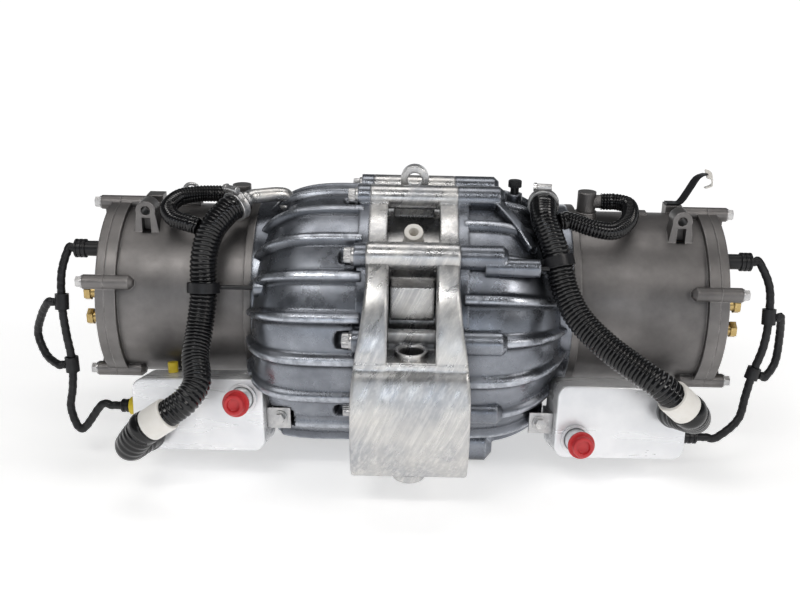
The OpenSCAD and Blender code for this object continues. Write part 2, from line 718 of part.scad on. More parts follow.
module output_gear(s) color(steel) place() side(s) difference() {
  slab_x(gear2_x) rotate(180) gear(z_output, second_module);
  bar_x([gear2_x[0] - 1, gear2_x[1] + 1], output_r + seat_gap);
  for (x = [gear2_x[0] - 8, gear2_x[1] - 8]) ring_x([x, x + 16], output_tip - 12, output_r + 10);
}

module left_output_gear() output_gear(-1);

module right_output_gear() output_gear(1);

// output shaft through the hollow rotor, with a socket for the drive shaft
module output_shaft(s) color(bright) place() side(s) difference() {
  bar_x([out_brg_x[0], shaft_end_x], output_r);
  bar_x([shaft_end_x - socket_depth, shaft_end_x + 1], socket_r);
}

module left_output_shaft() output_shaft(-1);

module right_output_shaft() output_shaft(1);

module rotor_bearings() color(bright) place() sides() {
  ring_x(rotor_brg_x, rotor_brg_r, rotor_shaft_r + run_gap);
  ring_x(rotor_end_brg_x, rotor_end_brg_r, rotor_end_r + run_gap);
}

module layshaft_bearings() color(bright) place() sides() {
  ring_x(lay_brg_x, lay_brg_r, lay_r + run_gap, -lay_a);
  ring_x(lay_end_brg_x, lay_end_brg_r, lay_r + run_gap, -lay_a);
}

module output_bearings() color(bright) place() sides() {
  ring_x(out_brg_x, out_brg_r, output_r + run_gap);
  ring_x(out_end_brg_x, out_end_brg_r, output_r + run_gap);
}

module shaft_seals() color(black) place() sides() ring_x(seal_x, seal_r, output_r + run_gap);

// coolers
module in_cooler(s) {
  translate([s * cooler_x, cooler_y, cooler_z])
    rotate([-cooler_pitch, s * cooler_roll, s * cooler_yaw]) children();
}

module rounded(w, h, r) {
  square([w - 2 * r, h], center = true);
  square([w, h - 2 * r], center = true);
  for (x = [-1, 1]) for (z = [-1, 1]) translate([x * (w / 2 - r), z * (h / 2 - r)]) circle(r = r);
}

module port(p, len, r) {
  translate([p[0], 0, p[1]]) rotate([90, 0, 0]) difference() {
    translate([0, 0, -1]) cylinder(h = len + 1, r = r);
    translate([0, 0, 2]) cylinder(h = len, r = r - 3);
  }
}

module oil_cooler(s) color(bright) place() in_cooler(s) {
  pitch = cooler_t / plate_n;
  slab_y([1, cooler_t - 0.5]) rounded(cooler_w - 3, cooler_h - 3, cooler_corner - 1.5);
  for (k = [0:plate_n - 1])
    slab_y([k * pitch, k * pitch + pitch * 0.6]) rounded(cooler_w, cooler_h, cooler_corner);
  slab_y([cooler_t - 1.5, cooler_t]) rounded(cooler_w, cooler_h, cooler_corner);
  port(cap_local(s), stub_len, port_r);
  port(cap_local(s), 4, port_r + 4);
  port(hose_local(s), hose_stub, port_r);
}

module left_oil_cooler() oil_cooler(-1);

module right_oil_cooler() oil_cooler(1);

// back plate of each cooler, with a tab to the gear case
module cooler_brackets() color(steel) place() for (s = [-1, 1]) in_cooler(s) side(-s) difference() {
  z = [tab_z - tab_h / 2, tab_z + tab_h / 2];
  x0 = cooler_w / 2 + free_gap;
  union() {
    slab_y([cooler_t, cooler_t + plate_t]) rounded(cooler_w - 8, cooler_h - 8, cooler_corner - 4);
    box([cooler_w / 2 - 20, x0 + plate_t], [cooler_t, cooler_t + plate_t], z);
    box([x0, x0 + plate_t], [tab_y[0], cooler_t + plate_t], z);
    box([x0, cooler_w / 2 + tab_reach], tab_y, z);
  }
  translate([tab_x(), 0, tab_z]) rotate([-90, 0, 0]) cylinder(h = 30, r = 4 + free_gap);
}

module cooler_bolts() color(steel) place() for (s = [-1, 1]) in_cooler(s)
  translate([-s * tab_x(), tab_y[0], tab_z]) rotate([90, 0, 0]) {
    translate([0, 0, -20]) cylinder(h = 22, r = 4);
    cylinder(h = 2, r = 8.5);
    translate([0, 0, 2]) cylinder(h = 6, r = 6.5, $fn = 6);
  }

// protective caps on the open ports
module port_caps() color(red) place() for (s = [-1, 1]) in_cooler(s)
  translate([cap_local(s)[0], -stub_len, cap_local(s)[1]]) rotate([90, 0, 0]) difference() {
    union() {
      cylinder(h = 3, r = port_r + 2.5);
      translate([0, 0, 3]) cylinder(h = 9, r = port_r - 1);
    }
    translate([0, 0, 8]) cylinder(h = 5, r = port_r - 6);
  }

// hoses
module left_coolant_hose() color(black) place() hose(left_hose_path, hose_r);

module right_coolant_hose() color(black) place() hose(right_hose_path, hose_r);

function hose_dir(p) = unit(p[len(p) - 1] - p[len(p) - 2]);
function hose_end(p) = p[len(p) - 1];

module hose_sleeves() color(white) place() for (p = [left_hose_path, right_hose_path])
  sleeve(hose_end(p) - 26 * hose_dir(p), hose_end(p) + 2 * hose_dir(p), hose_r + 3, hose_r + 1);

function elbow_mid(s) = s < 0 ? [-8, -36, -4] : [6, -46, 4];
function elbow_path(s, p) = let (d = hose_dir(p), q = hose_end(p), h = hose_local(s))
  [q + 2.3 * d, q + 7 * d, q + 12 * d, cooler_pt(s, elbow_mid(s) + [h[0], -hose_stub, h[1]]),
   cooler_pt(s, [h[0], -hose_stub - 12, h[1]]), cooler_pt(s, [h[0], -hose_stub - 6, h[1]]),
   cooler_pt(s, [h[0], -hose_stub - free_gap, h[1]])];

module left_hose_elbow() color(black) place() hose(elbow_path(-1, left_hose_path), hose_r + 2, 3, 12);

module right_hose_elbow() color(black) place() hose(elbow_path(1, right_hose_path), hose_r + 2, 3, 12);

module left_loop_hose() color(black) place() hose(left_loop_path, loop_r, 3);

module right_loop_hose() color(black) place() hose(right_loop_path, loop_r, 3);

// pipe elbows on the gear cases that the coolant hoses run to
module pipe_elbow(s, path) {
  d = unit(path[1] - path[0]);
  knee = path[0] - 15 * d;
  foot = [s * pipe_foot[0], pipe_foot[1], pipe_foot[2]];
  translate(foot) cylinder(h = knee[2] - foot[2] + 11, r = 11);
  translate(foot) cylinder(h = 4, r = 13);
  bend = [foot[0], foot[1], knee[2]];
  rod(bend, knee + 2 * unit(knee - bend), 9);
  rod(knee - 3 * d, path[0] - free_gap * d, 8.5);
}

module coolant_pipes() color(cast_light) place() {
  pipe_elbow(-1, left_hose_path);
  pipe_elbow(1, right_hose_path);
}

module loop_fittings() color(black) place() for (s = [-1, 1]) {
  translate([s * loop_foot[0], loop_foot[1], loop_foot[2]]) cylinder(h = 24, r = 11);
  rod([s * loop_foot[0], loop_foot[1], loop_foot[2] + 12],
    loop_pt(s, -free_gap), 8);
}

// band clamps at the top ends of the coolant hoses
module hose_clamps() color(steel) place() for (p = [left_hose_path, right_hose_path]) {
  d = unit(p[1] - p[0]);
  sleeve(p[0] + 3 * d, p[0] + 13 * d, hose_r + 2, hose_r + 0.5);
}

// clips that hold the coolant hoses in the middle
clip_ends = [[[-234, -120.2, 50], [-234, -123.2, 39]], [[158.8, -119.6, 88], [161.5, -124.8, 78]]];

module hose_clips() color(black) place() {
  for (c = clip_ends) sleeve(c[0], c[1], hose_r + 3, hose_r + 0.8);
  for (i = [0, 1]) side(2 * i - 1)
    bar_x([clip_seats[i][2], clip_reach[i]], 2.5, clip_seats[i][0], clip_seats[i][1]);
}

// black breather on top of the right gear case
breather_at = [118, -22, 134];
module breather_cap() color(black) place() translate(breather_at) {
  cylinder(h = 8, r = 5);
  translate([0, 0, 8]) cylinder(h = 8, r = 8);
}

// wire bail over the left motor
module lifting_bail() color(steel) place() translate([-bail_x, 7, barrel_r + 3]) {
  for (x = [-9, 9]) translate([x, 0, 0]) cylinder(h = 14, r = 2.2);
  translate([0, 0, 14]) rotate([90, 0, 0]) rotate_extrude(angle = 180) translate([9, 0]) circle(r = 2.2);
}

// yellow plug in the upper edge of the left cooler and lock ring of its lead plug
module sealing_plugs() color(yellow) place() {
  in_cooler(-1) translate([-40, cooler_t - 12, cooler_h / 2]) cylinder(h = 12, r = 6);
  sleeve(plug_pt(0, 2), plug_pt(0, 10), 10.5, 8 + free_gap);
}

// hexagon plugs and sensor sockets on the end covers
plug_r = 7;
plug_at = [[-62, 14], [-60, -18]];
function plug_pt(i, d) = let (s = 2 * i - 1) cooler_pt(s, plug_local[i] + [s * d, 0, 0]);

module lead_plugs() color(black) place() for (i = [0, 1]) rod(plug_pt(i, 0), plug_pt(i, plug_len), 8);

module cover_plugs() color(yellow) place() sides() for (p = plug_at) {
  bar_x([cover_x + 6, cover_x + 28], plug_r, p[0], p[1]);
  translate([cover_x + 28, p[0], p[1]]) rotate([0, 90, 0]) cylinder(h = 7, r = plug_r + 3, $fn = 6);
}

module sensor_sockets() color(black) place() sides() {
  bar_x([cover_x + 6, cover_x + 30], socket_body_r, socket_at[0], socket_at[1]);
  bar_x([cover_x + 30, socket_end_x], socket_body_r + 2, socket_at[0], socket_at[1]);
}

// sensor leads clipped from the end covers down to the coolers
module left_sensor_lead() color(black) place() hose(left_lead_path, lead_r, 2, 8);

module right_sensor_lead() color(black) place() hose(right_lead_path, lead_r, 2, 8);

module left_branch_lead() color(black) place() hose(left_branch_path, lead_r, 2, 8);

module right_branch_lead() color(black) place() hose(right_branch_path, lead_r, 2, 8);

module lead_wraps() color(black) place() {
  sleeve([-409, -81, 18], [-409, -85, 0], lead_r + 3, lead_r + 1);
  sleeve([-402, -91, -58], [-401, -93, -76], lead_r + 3, lead_r + 1);
  sleeve([416, -83, 18], [416, -87, 0], lead_r + 3, lead_r + 1);
  sleeve([406, -92, -53], [402, -94, -67], lead_r + 3, lead_r + 1);
}

// strap with a white tag over the right motor
module tag_strap() color(black) place()
  sweep(smooth(strap_path, 3), [[-7, -1], [7, -1], [7, 1], [-7, 1]], [0, 0, 1]);

module strap_tag() color(white) place()
  sweep(smooth(tag_path, 3), [[-8, -1], [8, -1], [8, 1], [-8, 1]], [1, 0, 0]);

center_housing();
left_gear_case();
right_gear_case();
left_motor_housing();
right_motor_housing();
left_end_cover();
right_end_cover();
case_bolts();
cover_bolts();
left_stator_core();
right_stator_core();
left_stator_winding();
right_stator_winding();
left_rotor_core();
right_rotor_core();
left_rotor_shaft();
right_rotor_shaft();
left_layshaft();
right_layshaft();
left_layshaft_gear();
right_layshaft_gear();
left_output_gear();
right_output_gear();
left_output_shaft();
right_output_shaft();
rotor_bearings();
layshaft_bearings();
output_bearings();
shaft_seals();
left_oil_cooler();
right_oil_cooler();
cooler_brackets();
cooler_bolts();
port_caps();
left_coolant_hose();
right_coolant_hose();
hose_sleeves();
left_hose_elbow();
right_hose_elbow();
left_loop_hose();
right_loop_hose();
coolant_pipes();
loop_fittings();
hose_clamps();
hose_clips();
level_tube();
breather_cap();
lifting_bail();
sealing_plugs();
cover_plugs();
sensor_sockets();
left_sensor_lead();
right_sensor_lead();
left_branch_lead();
right_branch_lead();
lead_plugs();
lead_wraps();
tag_strap();
strap_tag();
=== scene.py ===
"""Looks of a twin-motor electric drive unit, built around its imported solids."""
import logging
import math
from dataclasses import dataclass
from enum import Enum
from typing import Optional, Sequence

import bpy
import numpy as np
from mathutils import Matrix, Vector


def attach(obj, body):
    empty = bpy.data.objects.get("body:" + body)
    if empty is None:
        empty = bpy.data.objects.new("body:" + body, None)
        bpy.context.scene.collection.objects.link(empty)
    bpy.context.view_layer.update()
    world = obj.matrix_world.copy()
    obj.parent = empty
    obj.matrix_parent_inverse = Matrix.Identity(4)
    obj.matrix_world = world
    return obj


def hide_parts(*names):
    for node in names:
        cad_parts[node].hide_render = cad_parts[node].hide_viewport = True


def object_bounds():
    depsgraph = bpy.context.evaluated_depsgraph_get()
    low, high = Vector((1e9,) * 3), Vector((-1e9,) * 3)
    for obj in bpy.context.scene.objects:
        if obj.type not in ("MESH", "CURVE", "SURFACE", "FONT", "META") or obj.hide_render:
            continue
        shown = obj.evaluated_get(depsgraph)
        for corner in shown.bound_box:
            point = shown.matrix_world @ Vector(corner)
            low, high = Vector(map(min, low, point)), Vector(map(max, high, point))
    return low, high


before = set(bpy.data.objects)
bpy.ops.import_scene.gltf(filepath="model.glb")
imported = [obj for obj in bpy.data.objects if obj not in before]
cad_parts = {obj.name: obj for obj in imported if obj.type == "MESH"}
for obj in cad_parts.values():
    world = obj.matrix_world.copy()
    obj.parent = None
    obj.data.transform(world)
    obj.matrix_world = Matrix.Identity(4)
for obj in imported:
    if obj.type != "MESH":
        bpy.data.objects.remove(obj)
CAD_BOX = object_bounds()

log = logging.getLogger("drive_unit")
MM = 0.001
AXLE = np.array([0.0, 190.0, 0.0])
BODY = "housing"
TAU = 2.0 * math.pi
# Name of the mesh number for scuffed rib crests with a painted highlight, and painted shade at rib feet.
WEAR_AND_PAINTED_LIGHT = "wear_and_painted_light"
SHARP = math.radians(40.0)
Socket = bpy.types.NodeSocket
Triple = tuple[float, float, float]
Pair = tuple[float, float]
Vec = Sequence[float]
Points = Sequence[Vec]
Array = np.ndarray
Thing = bpy.types.Object


class Side(Enum):
    """The two ends of the unit, seen from the front."""

    LEFT = -1
    RIGHT = 1

    @property
    def word(self) -> str:
        """The side's word in node names."""
        return self.name.lower()


class Grain(Enum):
    """How the fine texture of a finish runs: the scale of its waves by axis."""

    EVEN = (1.0, 1.0, 1.0)
    ALONG_X = (0.03, 1.0, 1.0)
    ALONG_Z = (1.0, 1.0, 0.05)


# Finishes


@dataclass(frozen=True)
class Finish:
    """A procedural finish: mottled colour, uneven gloss, fine grain, scuffed edges, painted shade in
    recesses, and rib crests and feet painted lighter and darker by a number on the mesh.
    """

    name: str
    dark: Triple
    light: Triple
    metallic: float
    rough: Pair
    grain: Grain = Grain.EVEN
    grain_scale: float = 700.0
    grain_depth: float = 0.00008
    mottle_scale: float = 22.0
    edge: float = 0.0
    edge_radius: float = 0.0012
    specular: float = 0.5
    # Strength and reach of the painted shade in recesses.
    recess_shade: float = 0.0
    recess_shade_reach: float = 0.03
    grain_turn: float = 0.0
    streak: float = 0.0

    def material(self) -> bpy.types.Material:
        """Builds the material once.

        Returns:
            The node material of this finish.
        """
        label = "look_" + self.name
        found = bpy.data.materials.get(label)
        if found:
            return found
        mat = bpy.data.materials.new(label)
        mat.use_nodes = True
        tree = NodeTree(mat.node_tree)
        place = tree.add("TexCoord").outputs["Object"]
        mottle = tree.noise(place, self.mottle_scale, 6.0, 0.62)
        colour = tree.ramp(mottle, [(0.30, self.dark), (0.70, self.light)])
        normal = None
        if self.edge > 0.0:
            colour, normal = self._edge_wear_and_painted_light(tree, colour, place)
        along = place if self.grain is Grain.EVEN else tree.stretch(place, self.grain.value, self.grain_turn)
        if self.streak > 0.0:
            lines = tree.remap(tree.noise(along, 240.0, 4.0, 0.7), (0.45, 0.7), (0.0, self.streak))
            colour = tree.mix(lines, colour, tuple(min(1.0, 1.45 * c) for c in self.light))
        # Painted shade in recesses and between parts: the colour darkens where little of the sky is seen
        # within the reach.
        if self.recess_shade > 0.0:
            depth = tree.remap(tree.open_share(self.recess_shade_reach), (0.75, 0.2), (0.0, self.recess_shade))
            colour = tree.mix(depth, colour, tuple(0.2 * c for c in self.dark))
        gloss = tree.noise(along, self.mottle_scale * 2.7, 4.0, 0.6)
        rough = tree.spread(gloss, self.rough)
        bump = tree.bump(tree.noise(along, self.grain_scale, 5.0, 0.65), self.grain_depth, normal)
        tree.fill(tree.shader(), {
            "Metallic": self.metallic, "Specular IOR Level": self.specular,
            "Base Color": colour, "Roughness": rough, "Normal": bump,
        })
        return mat

    def _edge_wear_and_painted_light(self, tree: "NodeTree", colour: Socket, place: Socket) -> tuple[Socket, Socket]:
        """Lightens the colour where the rounded normal leaves the true one, as on a scuffed casting edge.
        Where the mesh's number is positive it lightens the colour too, for scuffed rib crests and a painted
        highlight; where it is negative it darkens the colour as painted shade.

        Args:
            tree: the material's nodes.
            colour: colour before the wear.
            place: object coordinates.

        Returns:
            The colour with scuffs, painted highlight and painted shade, and the rounded normal.
        """
        bevel = tree.add("Bevel", {"Radius": self.edge_radius}, samples=6)
        true = tree.add("NewGeometry").outputs["Normal"]
        dot = tree.vector("DOT_PRODUCT", bevel.outputs["Normal"], true)
        turned = tree.remap(dot, (0.98, 0.84), (0.0, self.edge))
        broken = tree.remap(tree.noise(place, 90.0, 3.0, 0.6), (0.35, 0.6), (0.25, 1.0))
        wear_and_highlight_colour = tuple(min(1.0, 1.6 * c + 0.10) for c in self.light)
        # Rib crests carry a positive number, for scuffing and a painted highlight; rib feet carry a negative
        # one, for painted shade.
        drawn = tree.attribute(WEAR_AND_PAINTED_LIGHT)
        wear_and_highlight = tree.maths("MAXIMUM", turned, drawn)
        mixed = tree.mix(tree.maths("MULTIPLY", wear_and_highlight, broken), colour, wear_and_highlight_colour)
        # Painted shade at the rib feet: a quarter of the dark tone.
        painted_shade_colour = tuple(0.25 * c for c in self.dark)
        return tree.mix(tree.remap(drawn, (0.0, -1.0), (0.0, 1.0)), mixed, painted_shade_colour), bevel.outputs["Normal"]


class NodeTree:
    """A material's node tree, with one short call for each kind of node."""

    def __init__(self, tree: bpy.types.NodeTree) -> None:
        """Keeps the tree."""
        self.tree = tree

    def add(self, kind: str, inputs: Optional[dict] = None, **settings: object) -> bpy.types.Node:
        """Adds a shader node.

        Args:
            kind: type of the node.
            inputs: as in fill.
            settings: the node's own properties.

        Returns:
            The node.
        """
        node = self.tree.nodes.new("ShaderNode" + kind)
        for key, value in settings.items():
            setattr(node, key, value)
        self.fill(node, inputs or {})
        return node

    def fill(self, node: bpy.types.Node, inputs: dict) -> None:
        """Fills a node's inputs, by name or number, each with a socket to join or a fixed value."""
        for key, value in inputs.items():
            if isinstance(value, Socket):
                self.tree.links.new(value, node.inputs[key])
            else:
                node.inputs[key].default_value = value

    def shader(self) -> bpy.types.Node:
        """The tree's own Principled shader."""
        return next(n for n in self.tree.nodes if n.type == "BSDF_PRINCIPLED")

    def noise(self, place: Socket, scale: float, detail: float, rough: float) -> Socket:
        """Fractal noise.

        Args:
            place: coordinates.
            scale: waves per metre.
            detail: octaves.
            rough: weight of the finer octaves.

        Returns:
            The noise value.
        """
        inputs = {"Vector": place, "Scale": scale, "Detail": detail, "Roughness": rough}
        return self.add("TexNoise", inputs).outputs["Fac"]

    def ramp(self, value: Socket, stops: Sequence[tuple[float, Triple]]) -> Socket:
        """Colour along a value.

        Args:
            value: from 0 to 1.
            stops: places and colours.

        Returns:
            The colour.
        """
        node = self.add("ValToRGB", {"Fac": value})
        for element, (at, colour) in zip(node.color_ramp.elements, stops):
            element.position = at
            element.color = (*colour, 1.0)
        return node.outputs["Color"]

    def remap(self, value: Socket, given: Pair, wanted: Pair) -> Socket:
        """Carries one range of a value onto another, clamped."""
        ends = dict(zip(("From Min", "From Max", "To Min", "To Max"), (*given, *wanted)))
        return self.add("MapRange", {"Value": value, **ends}).outputs["Result"]

    def spread(self, value: Socket, wanted: Pair) -> Socket:
        """Spreads the middle of a noise over a range."""
        return self.remap(value, (0.32, 0.68), wanted)

    def open_share(self, reach: float) -> Socket:
        """Share of the sky that a point sees within a reach in metres."""
        return self.add("AmbientOcclusion", {"Distance": reach}, samples=6).outputs["AO"]

    def stretch(self, place: Socket, scale: Triple, turn: float) -> Socket:
        """Turns coordinates about the front axis by degrees, then scales them by axis."""
        inputs = {"Vector": place, "Angle": math.radians(turn)}
        turned = self.add("VectorRotate", inputs, rotation_type="Y_AXIS").outputs["Vector"]
        return self.add("Mapping", {"Vector": turned, "Scale": scale}).outputs["Vector"]

    def vector(self, what: str, a: Socket, b: Socket) -> Socket:
        """The number that a vector operation makes of two vectors."""
        return self.add("VectorMath", {0: a, 1: b}, operation=what).outputs["Value"]

    def attribute(self, name: str) -> Socket:
        """A number kept on the mesh, nought where the mesh has none."""
        return self.add("Attribute", attribute_name=name).outputs["Fac"]

    def place(self, at: Triple) -> Socket:
        """A fixed point."""
        return self.add("CombineXYZ", dict(enumerate(at))).outputs["Vector"]

    def maths(self, what: str, a: Socket, b: Socket) -> Socket:
        """An operation on two numbers."""
        return self.add("Math", {0: a, 1: b}, operation=what).outputs["Value"]

    def mix(self, part: Socket, a: Socket, b: Socket | Triple) -> Socket:
        """Mixes two colours, the second one a socket or a fixed colour."""
        second = (*b, 1.0) if isinstance(b, tuple) else b
        return self.add("Mix", {0: part, 6: a, 7: second}, data_type="RGBA").outputs[2]

    def bump(self, height: Socket, depth: float, normal: Optional[Socket] = None) -> Socket:
        """A bumped normal.

        Args:
            height: from 0 to 1.
            depth: height of the bumps in metres.
            normal: the normal under the bumps, if it isn't the surface's own.

        Returns:
            The normal.
        """
        under = {} if normal is None else {"Normal": normal}
        inputs = {"Strength": 0.6, "Distance": depth, "Height": height, **under}
        return self.add("Bump", inputs).outputs["Normal"]


@dataclass(frozen=True)
class Finishes:
    """Every finish on the unit."""

    cast_light: Finish = Finish(
        "cast_light", (0.36, 0.37, 0.395), (0.64, 0.625, 0.60), 0.9, (0.16, 0.44),
        Grain.ALONG_Z, 420.0, 0.0001, 20.0, edge=0.8, edge_radius=0.004, recess_shade=0.85, grain_turn=-24.0,
        streak=0.4,
    )
    cast_dark: Finish = Finish(
        "cast_dark", (0.145, 0.156, 0.180), (0.30, 0.317, 0.352), 0.9, (0.18, 0.38),
        mottle_scale=16.0, recess_shade=0.85,
        edge=0.8, edge_radius=0.0045,
    )
    cast_warm: Finish = Finish(
        "cast_warm", (0.14, 0.134, 0.132), (0.25, 0.238, 0.233), 0.85, (0.40, 0.52),
        mottle_scale=14.0, recess_shade=0.7,
        edge=0.7, edge_radius=0.0025,
    )
    cooler: Finish = Finish(
        "cooler_plate", (0.78, 0.79, 0.815), (0.95, 0.95, 0.96), 0.55, (0.22, 0.40),
        Grain.ALONG_X, 900.0, 0.00005, 14.0, edge=0.3, edge_radius=0.0008, recess_shade=0.75, recess_shade_reach=0.012,
    )
    zinc: Finish = Finish(
        "zinc_plate", (0.44, 0.44, 0.45), (0.64, 0.63, 0.62), 0.9, (0.25, 0.45),
        grain_scale=1200.0, grain_depth=0.00008, mottle_scale=120.0, edge=0.5, edge_radius=0.0005,
    )
    steel: Finish = Finish(
        "ground_steel", (0.50, 0.50, 0.52), (0.66, 0.66, 0.68), 0.95, (0.18, 0.32),
        Grain.ALONG_X, 1500.0, 0.00004, 60.0,
    )
    laminated: Finish = Finish(
        "laminated_steel", (0.24, 0.24, 0.26), (0.36, 0.36, 0.38), 0.8, (0.35, 0.5),
        Grain.ALONG_X, 1800.0, 0.0001, 60.0,
    )
    copper: Finish = Finish(
        "coil_copper", (0.42, 0.18, 0.07), (0.62, 0.30, 0.13), 0.8, (0.25, 0.4), mottle_scale=160.0
    )
    hose: Finish = Finish(
        "hose_plastic", (0.003, 0.003, 0.0035), (0.006, 0.006, 0.007), 0.0, (0.08, 0.16),
        Grain.EVEN, 1400.0, 0.00001, 60.0, specular=0.45,
    )
    rubber: Finish = Finish(
        "elbow_rubber", (0.004, 0.004, 0.0045), (0.009, 0.009, 0.010), 0.0, (0.14, 0.26),
        Grain.EVEN, 1100.0, 0.00003, 50.0, specular=0.4,
    )
    plastic: Finish = Finish(
        "black_plastic", (0.006, 0.006, 0.007), (0.014, 0.014, 0.016), 0.0, (0.28, 0.42),
        Grain.EVEN, 1600.0, 0.00008, 70.0, specular=0.35,
    )
    sheath: Finish = Finish(
        "lead_sheath", (0.006, 0.006, 0.007), (0.016, 0.016, 0.018), 0.0, (0.32, 0.5),
        Grain.EVEN, 1500.0, 0.00015, 120.0, specular=0.35,
    )
    white: Finish = Finish(
        "white_plastic", (0.74, 0.71, 0.66), (0.84, 0.82, 0.78), 0.0, (0.32, 0.46),
        Grain.EVEN, 900.0, 0.00005, 40.0,
    )
    red: Finish = Finish(
        "red_plastic", (0.46, 0.020, 0.024), (0.60, 0.040, 0.044), 0.0, (0.28, 0.42),
        Grain.EVEN, 1000.0, 0.00005, 60.0,
    )
    yellow: Finish = Finish(
        "yellow_plastic", (0.62, 0.46, 0.02), (0.78, 0.60, 0.04), 0.0, (0.3, 0.45),
        Grain.EVEN, 1000.0, 0.00005, 90.0,
    )
    brass: Finish = Finish(
        "bare_brass", (0.42, 0.29, 0.11), (0.60, 0.45, 0.20), 0.9, (0.25, 0.42),
        grain_scale=1200.0, grain_depth=0.00006, mottle_scale=110.0, edge=0.4, edge_radius=0.0005,
    )


FINISHES = Finishes()

FINISHED_NODES: Sequence[tuple[Finish, str]] = (
    (FINISHES.cast_light, "center_housing coolant_pipes"),
    (FINISHES.cast_dark, "gear_case"),
    (FINISHES.cast_warm, "motor_housing end_cover loop_fittings"),
    (FINISHES.cooler, "oil_cooler"),
    (FINISHES.zinc, "case_bolts cover_bolts cooler_bolts cooler_brackets hose_clamps lifting_bail"),
    (FINISHES.laminated, "stator_core rotor_core"),
    (FINISHES.copper, "stator_winding"),
    (FINISHES.steel, "rotor_shaft layshaft layshaft_gear output_gear output_shaft"),
    (FINISHES.steel, "rotor_bearings layshaft_bearings output_bearings"),
    (FINISHES.rubber, "shaft_seals hose_elbow"),
    (FINISHES.red, "port_caps"),
    (FINISHES.hose, "coolant_hose loop_hose"),
    (FINISHES.white, "hose_sleeves level_tube strap_tag"),
    (FINISHES.plastic, "hose_clips breather_cap sensor_sockets lead_plugs tag_strap"),
    (FINISHES.yellow, "sealing_plugs"),
    (FINISHES.brass, "cover_plugs"),
    (FINISHES.sheath, "sensor_lead branch_lead lead_wraps"),
)
NODE_FINISHES = {node: finish for finish, nodes in FINISHED_NODES for node in nodes.split()}


# Surfaces


def unit(v: Array) -> Array:
    """Vectors divided by their own lengths."""
    return v / np.linalg.norm(v, axis=-1, keepdims=True)


def route(points: Points, step: float) -> Array:
    """A smooth route at even steps.

    Each span is a cubic through its two ends whose slopes are half the chord between the
    neighbours on either side; the spans are sampled finely and taken again at equal lengths.

    Args:
        points: route points in millimetres from the motor axis.
        step: distance between stations in millimetres.

    Returns:
        Stations in millimetres, one row each.
    """
    p = np.asarray(points, float)
    before, after = np.vstack([p[:1], p[:-2]]), np.vstack([p[2:], p[-1:]])
    t = np.linspace(0.0, 1.0, 24, endpoint=False)[None, :, None]
    a, b, c, d = (q[:, None, :] for q in (before, p[:-1], p[1:], after))
    fine = 0.5 * (
        2 * b + (c - a) * t + (2 * a - 5 * b + 4 * c - d) * t**2 + (3 * b - a - 3 * c + d) * t**3
    )
    fine = np.vstack([fine.reshape(-1, 3), p[-1:]])
    length = stations(fine)
    at = np.linspace(0.0, length[-1], max(2, int(round(length[-1] / step)) + 1))
    return np.stack([np.interp(at, length, fine[:, k]) for k in range(3)], axis=1)


def stations(path: Array) -> Array:
    """Length along a path at each of its points."""
    return np.concatenate([[0.0], np.cumsum(np.linalg.norm(np.diff(path, axis=0), axis=1))])


def circle(count: int) -> Array:
    """Even angles round a circle."""
    return np.linspace(0.0, TAU, count, endpoint=False)


def rings(path: Array, up: Vec, count: int) -> Array:
    """Directions across a path: at each station the cosine and sine of even angles, along two axes
    that are square to the path and to each other.

    Args:
        path: stations in millimetres.
        up: a direction that the path never runs along.
        count: of angles.

    Returns:
        Unit vectors by station and angle.
    """
    t = unit(np.gradient(path, axis=0))
    n = unit(np.cross(t, np.asarray(up, float)))
    b = np.cross(t, n)
    angle = circle(count)[None, :, None]
    return np.cos(angle) * n[:, None, :] + np.sin(angle) * b[:, None, :]


def tube_grid(path: Array, radius: Array, up: Vec) -> Array:
    """A tube: each station plus radius times the directions across the path.

    Args:
        path: stations in millimetres.
        radius: radius at each station and angle, in millimetres.
        up: a direction that the path never runs along.

    Returns:
        Points by station and angle.
    """
    return path[:, None, :] + radius[:, :, None] * rings(path, up, radius.shape[1])


def lathe_grid(start: Vec, end: Vec, along: Array, radius: Array) -> Array:
    """A turned shape: rings at distances along the axis from start towards end.

    Args:
        start: point on the axis that the distances count from, in millimetres.
        end: another point of the axis, which gives its direction.
        along: distance of each ring.
        radius: radius at each ring and angle.

    Returns:
        Points by ring and angle.
    """
    a, e = np.asarray(start, float), unit(np.asarray(end, float) - np.asarray(start, float))
    n = unit(np.cross(e, np.eye(3)[np.argmin(np.abs(e))]))
    angle = circle(radius.shape[1])[:, None]
    ring = np.cos(angle) * n + np.sin(angle) * np.cross(e, n)
    return a + along[:, None, None] * e + radius[:, :, None] * ring[None]


def grid_faces(rows: int, cols: int) -> Array:
    """Quads of a grid that closes on itself across its columns."""
    i, j = np.meshgrid(np.arange(rows - 1), np.arange(cols), indexing="ij")
    k = (j + 1) % cols
    quads = np.stack([i * cols + j, (i + 1) * cols + j, (i + 1) * cols + k, i * cols + k], axis=-1)
    return quads.reshape(-1, 4)


def signed_volume(points: Array, quads: Array) -> float:
    """Six times the volume inside the quads, negative where they face inwards."""
    a, b, c, d = (points[quads[:, k]] for k in range(4))
    return float(np.sum(np.cross(b, c) * a) + np.sum(np.cross(c, d) * a))


def even(radius: Array, count: int) -> Array:
    """The same radius at each of a count of angles, ring by ring."""
    return np.repeat(radius.reshape(-1, 1), count, axis=1)


def stand(name: str, data: bpy.types.ID) -> Thing:
    """Stands an object with its data in the scene."""
    obj = bpy.data.objects.new(name, data)
    bpy.context.scene.collection.objects.link(obj)
    return obj


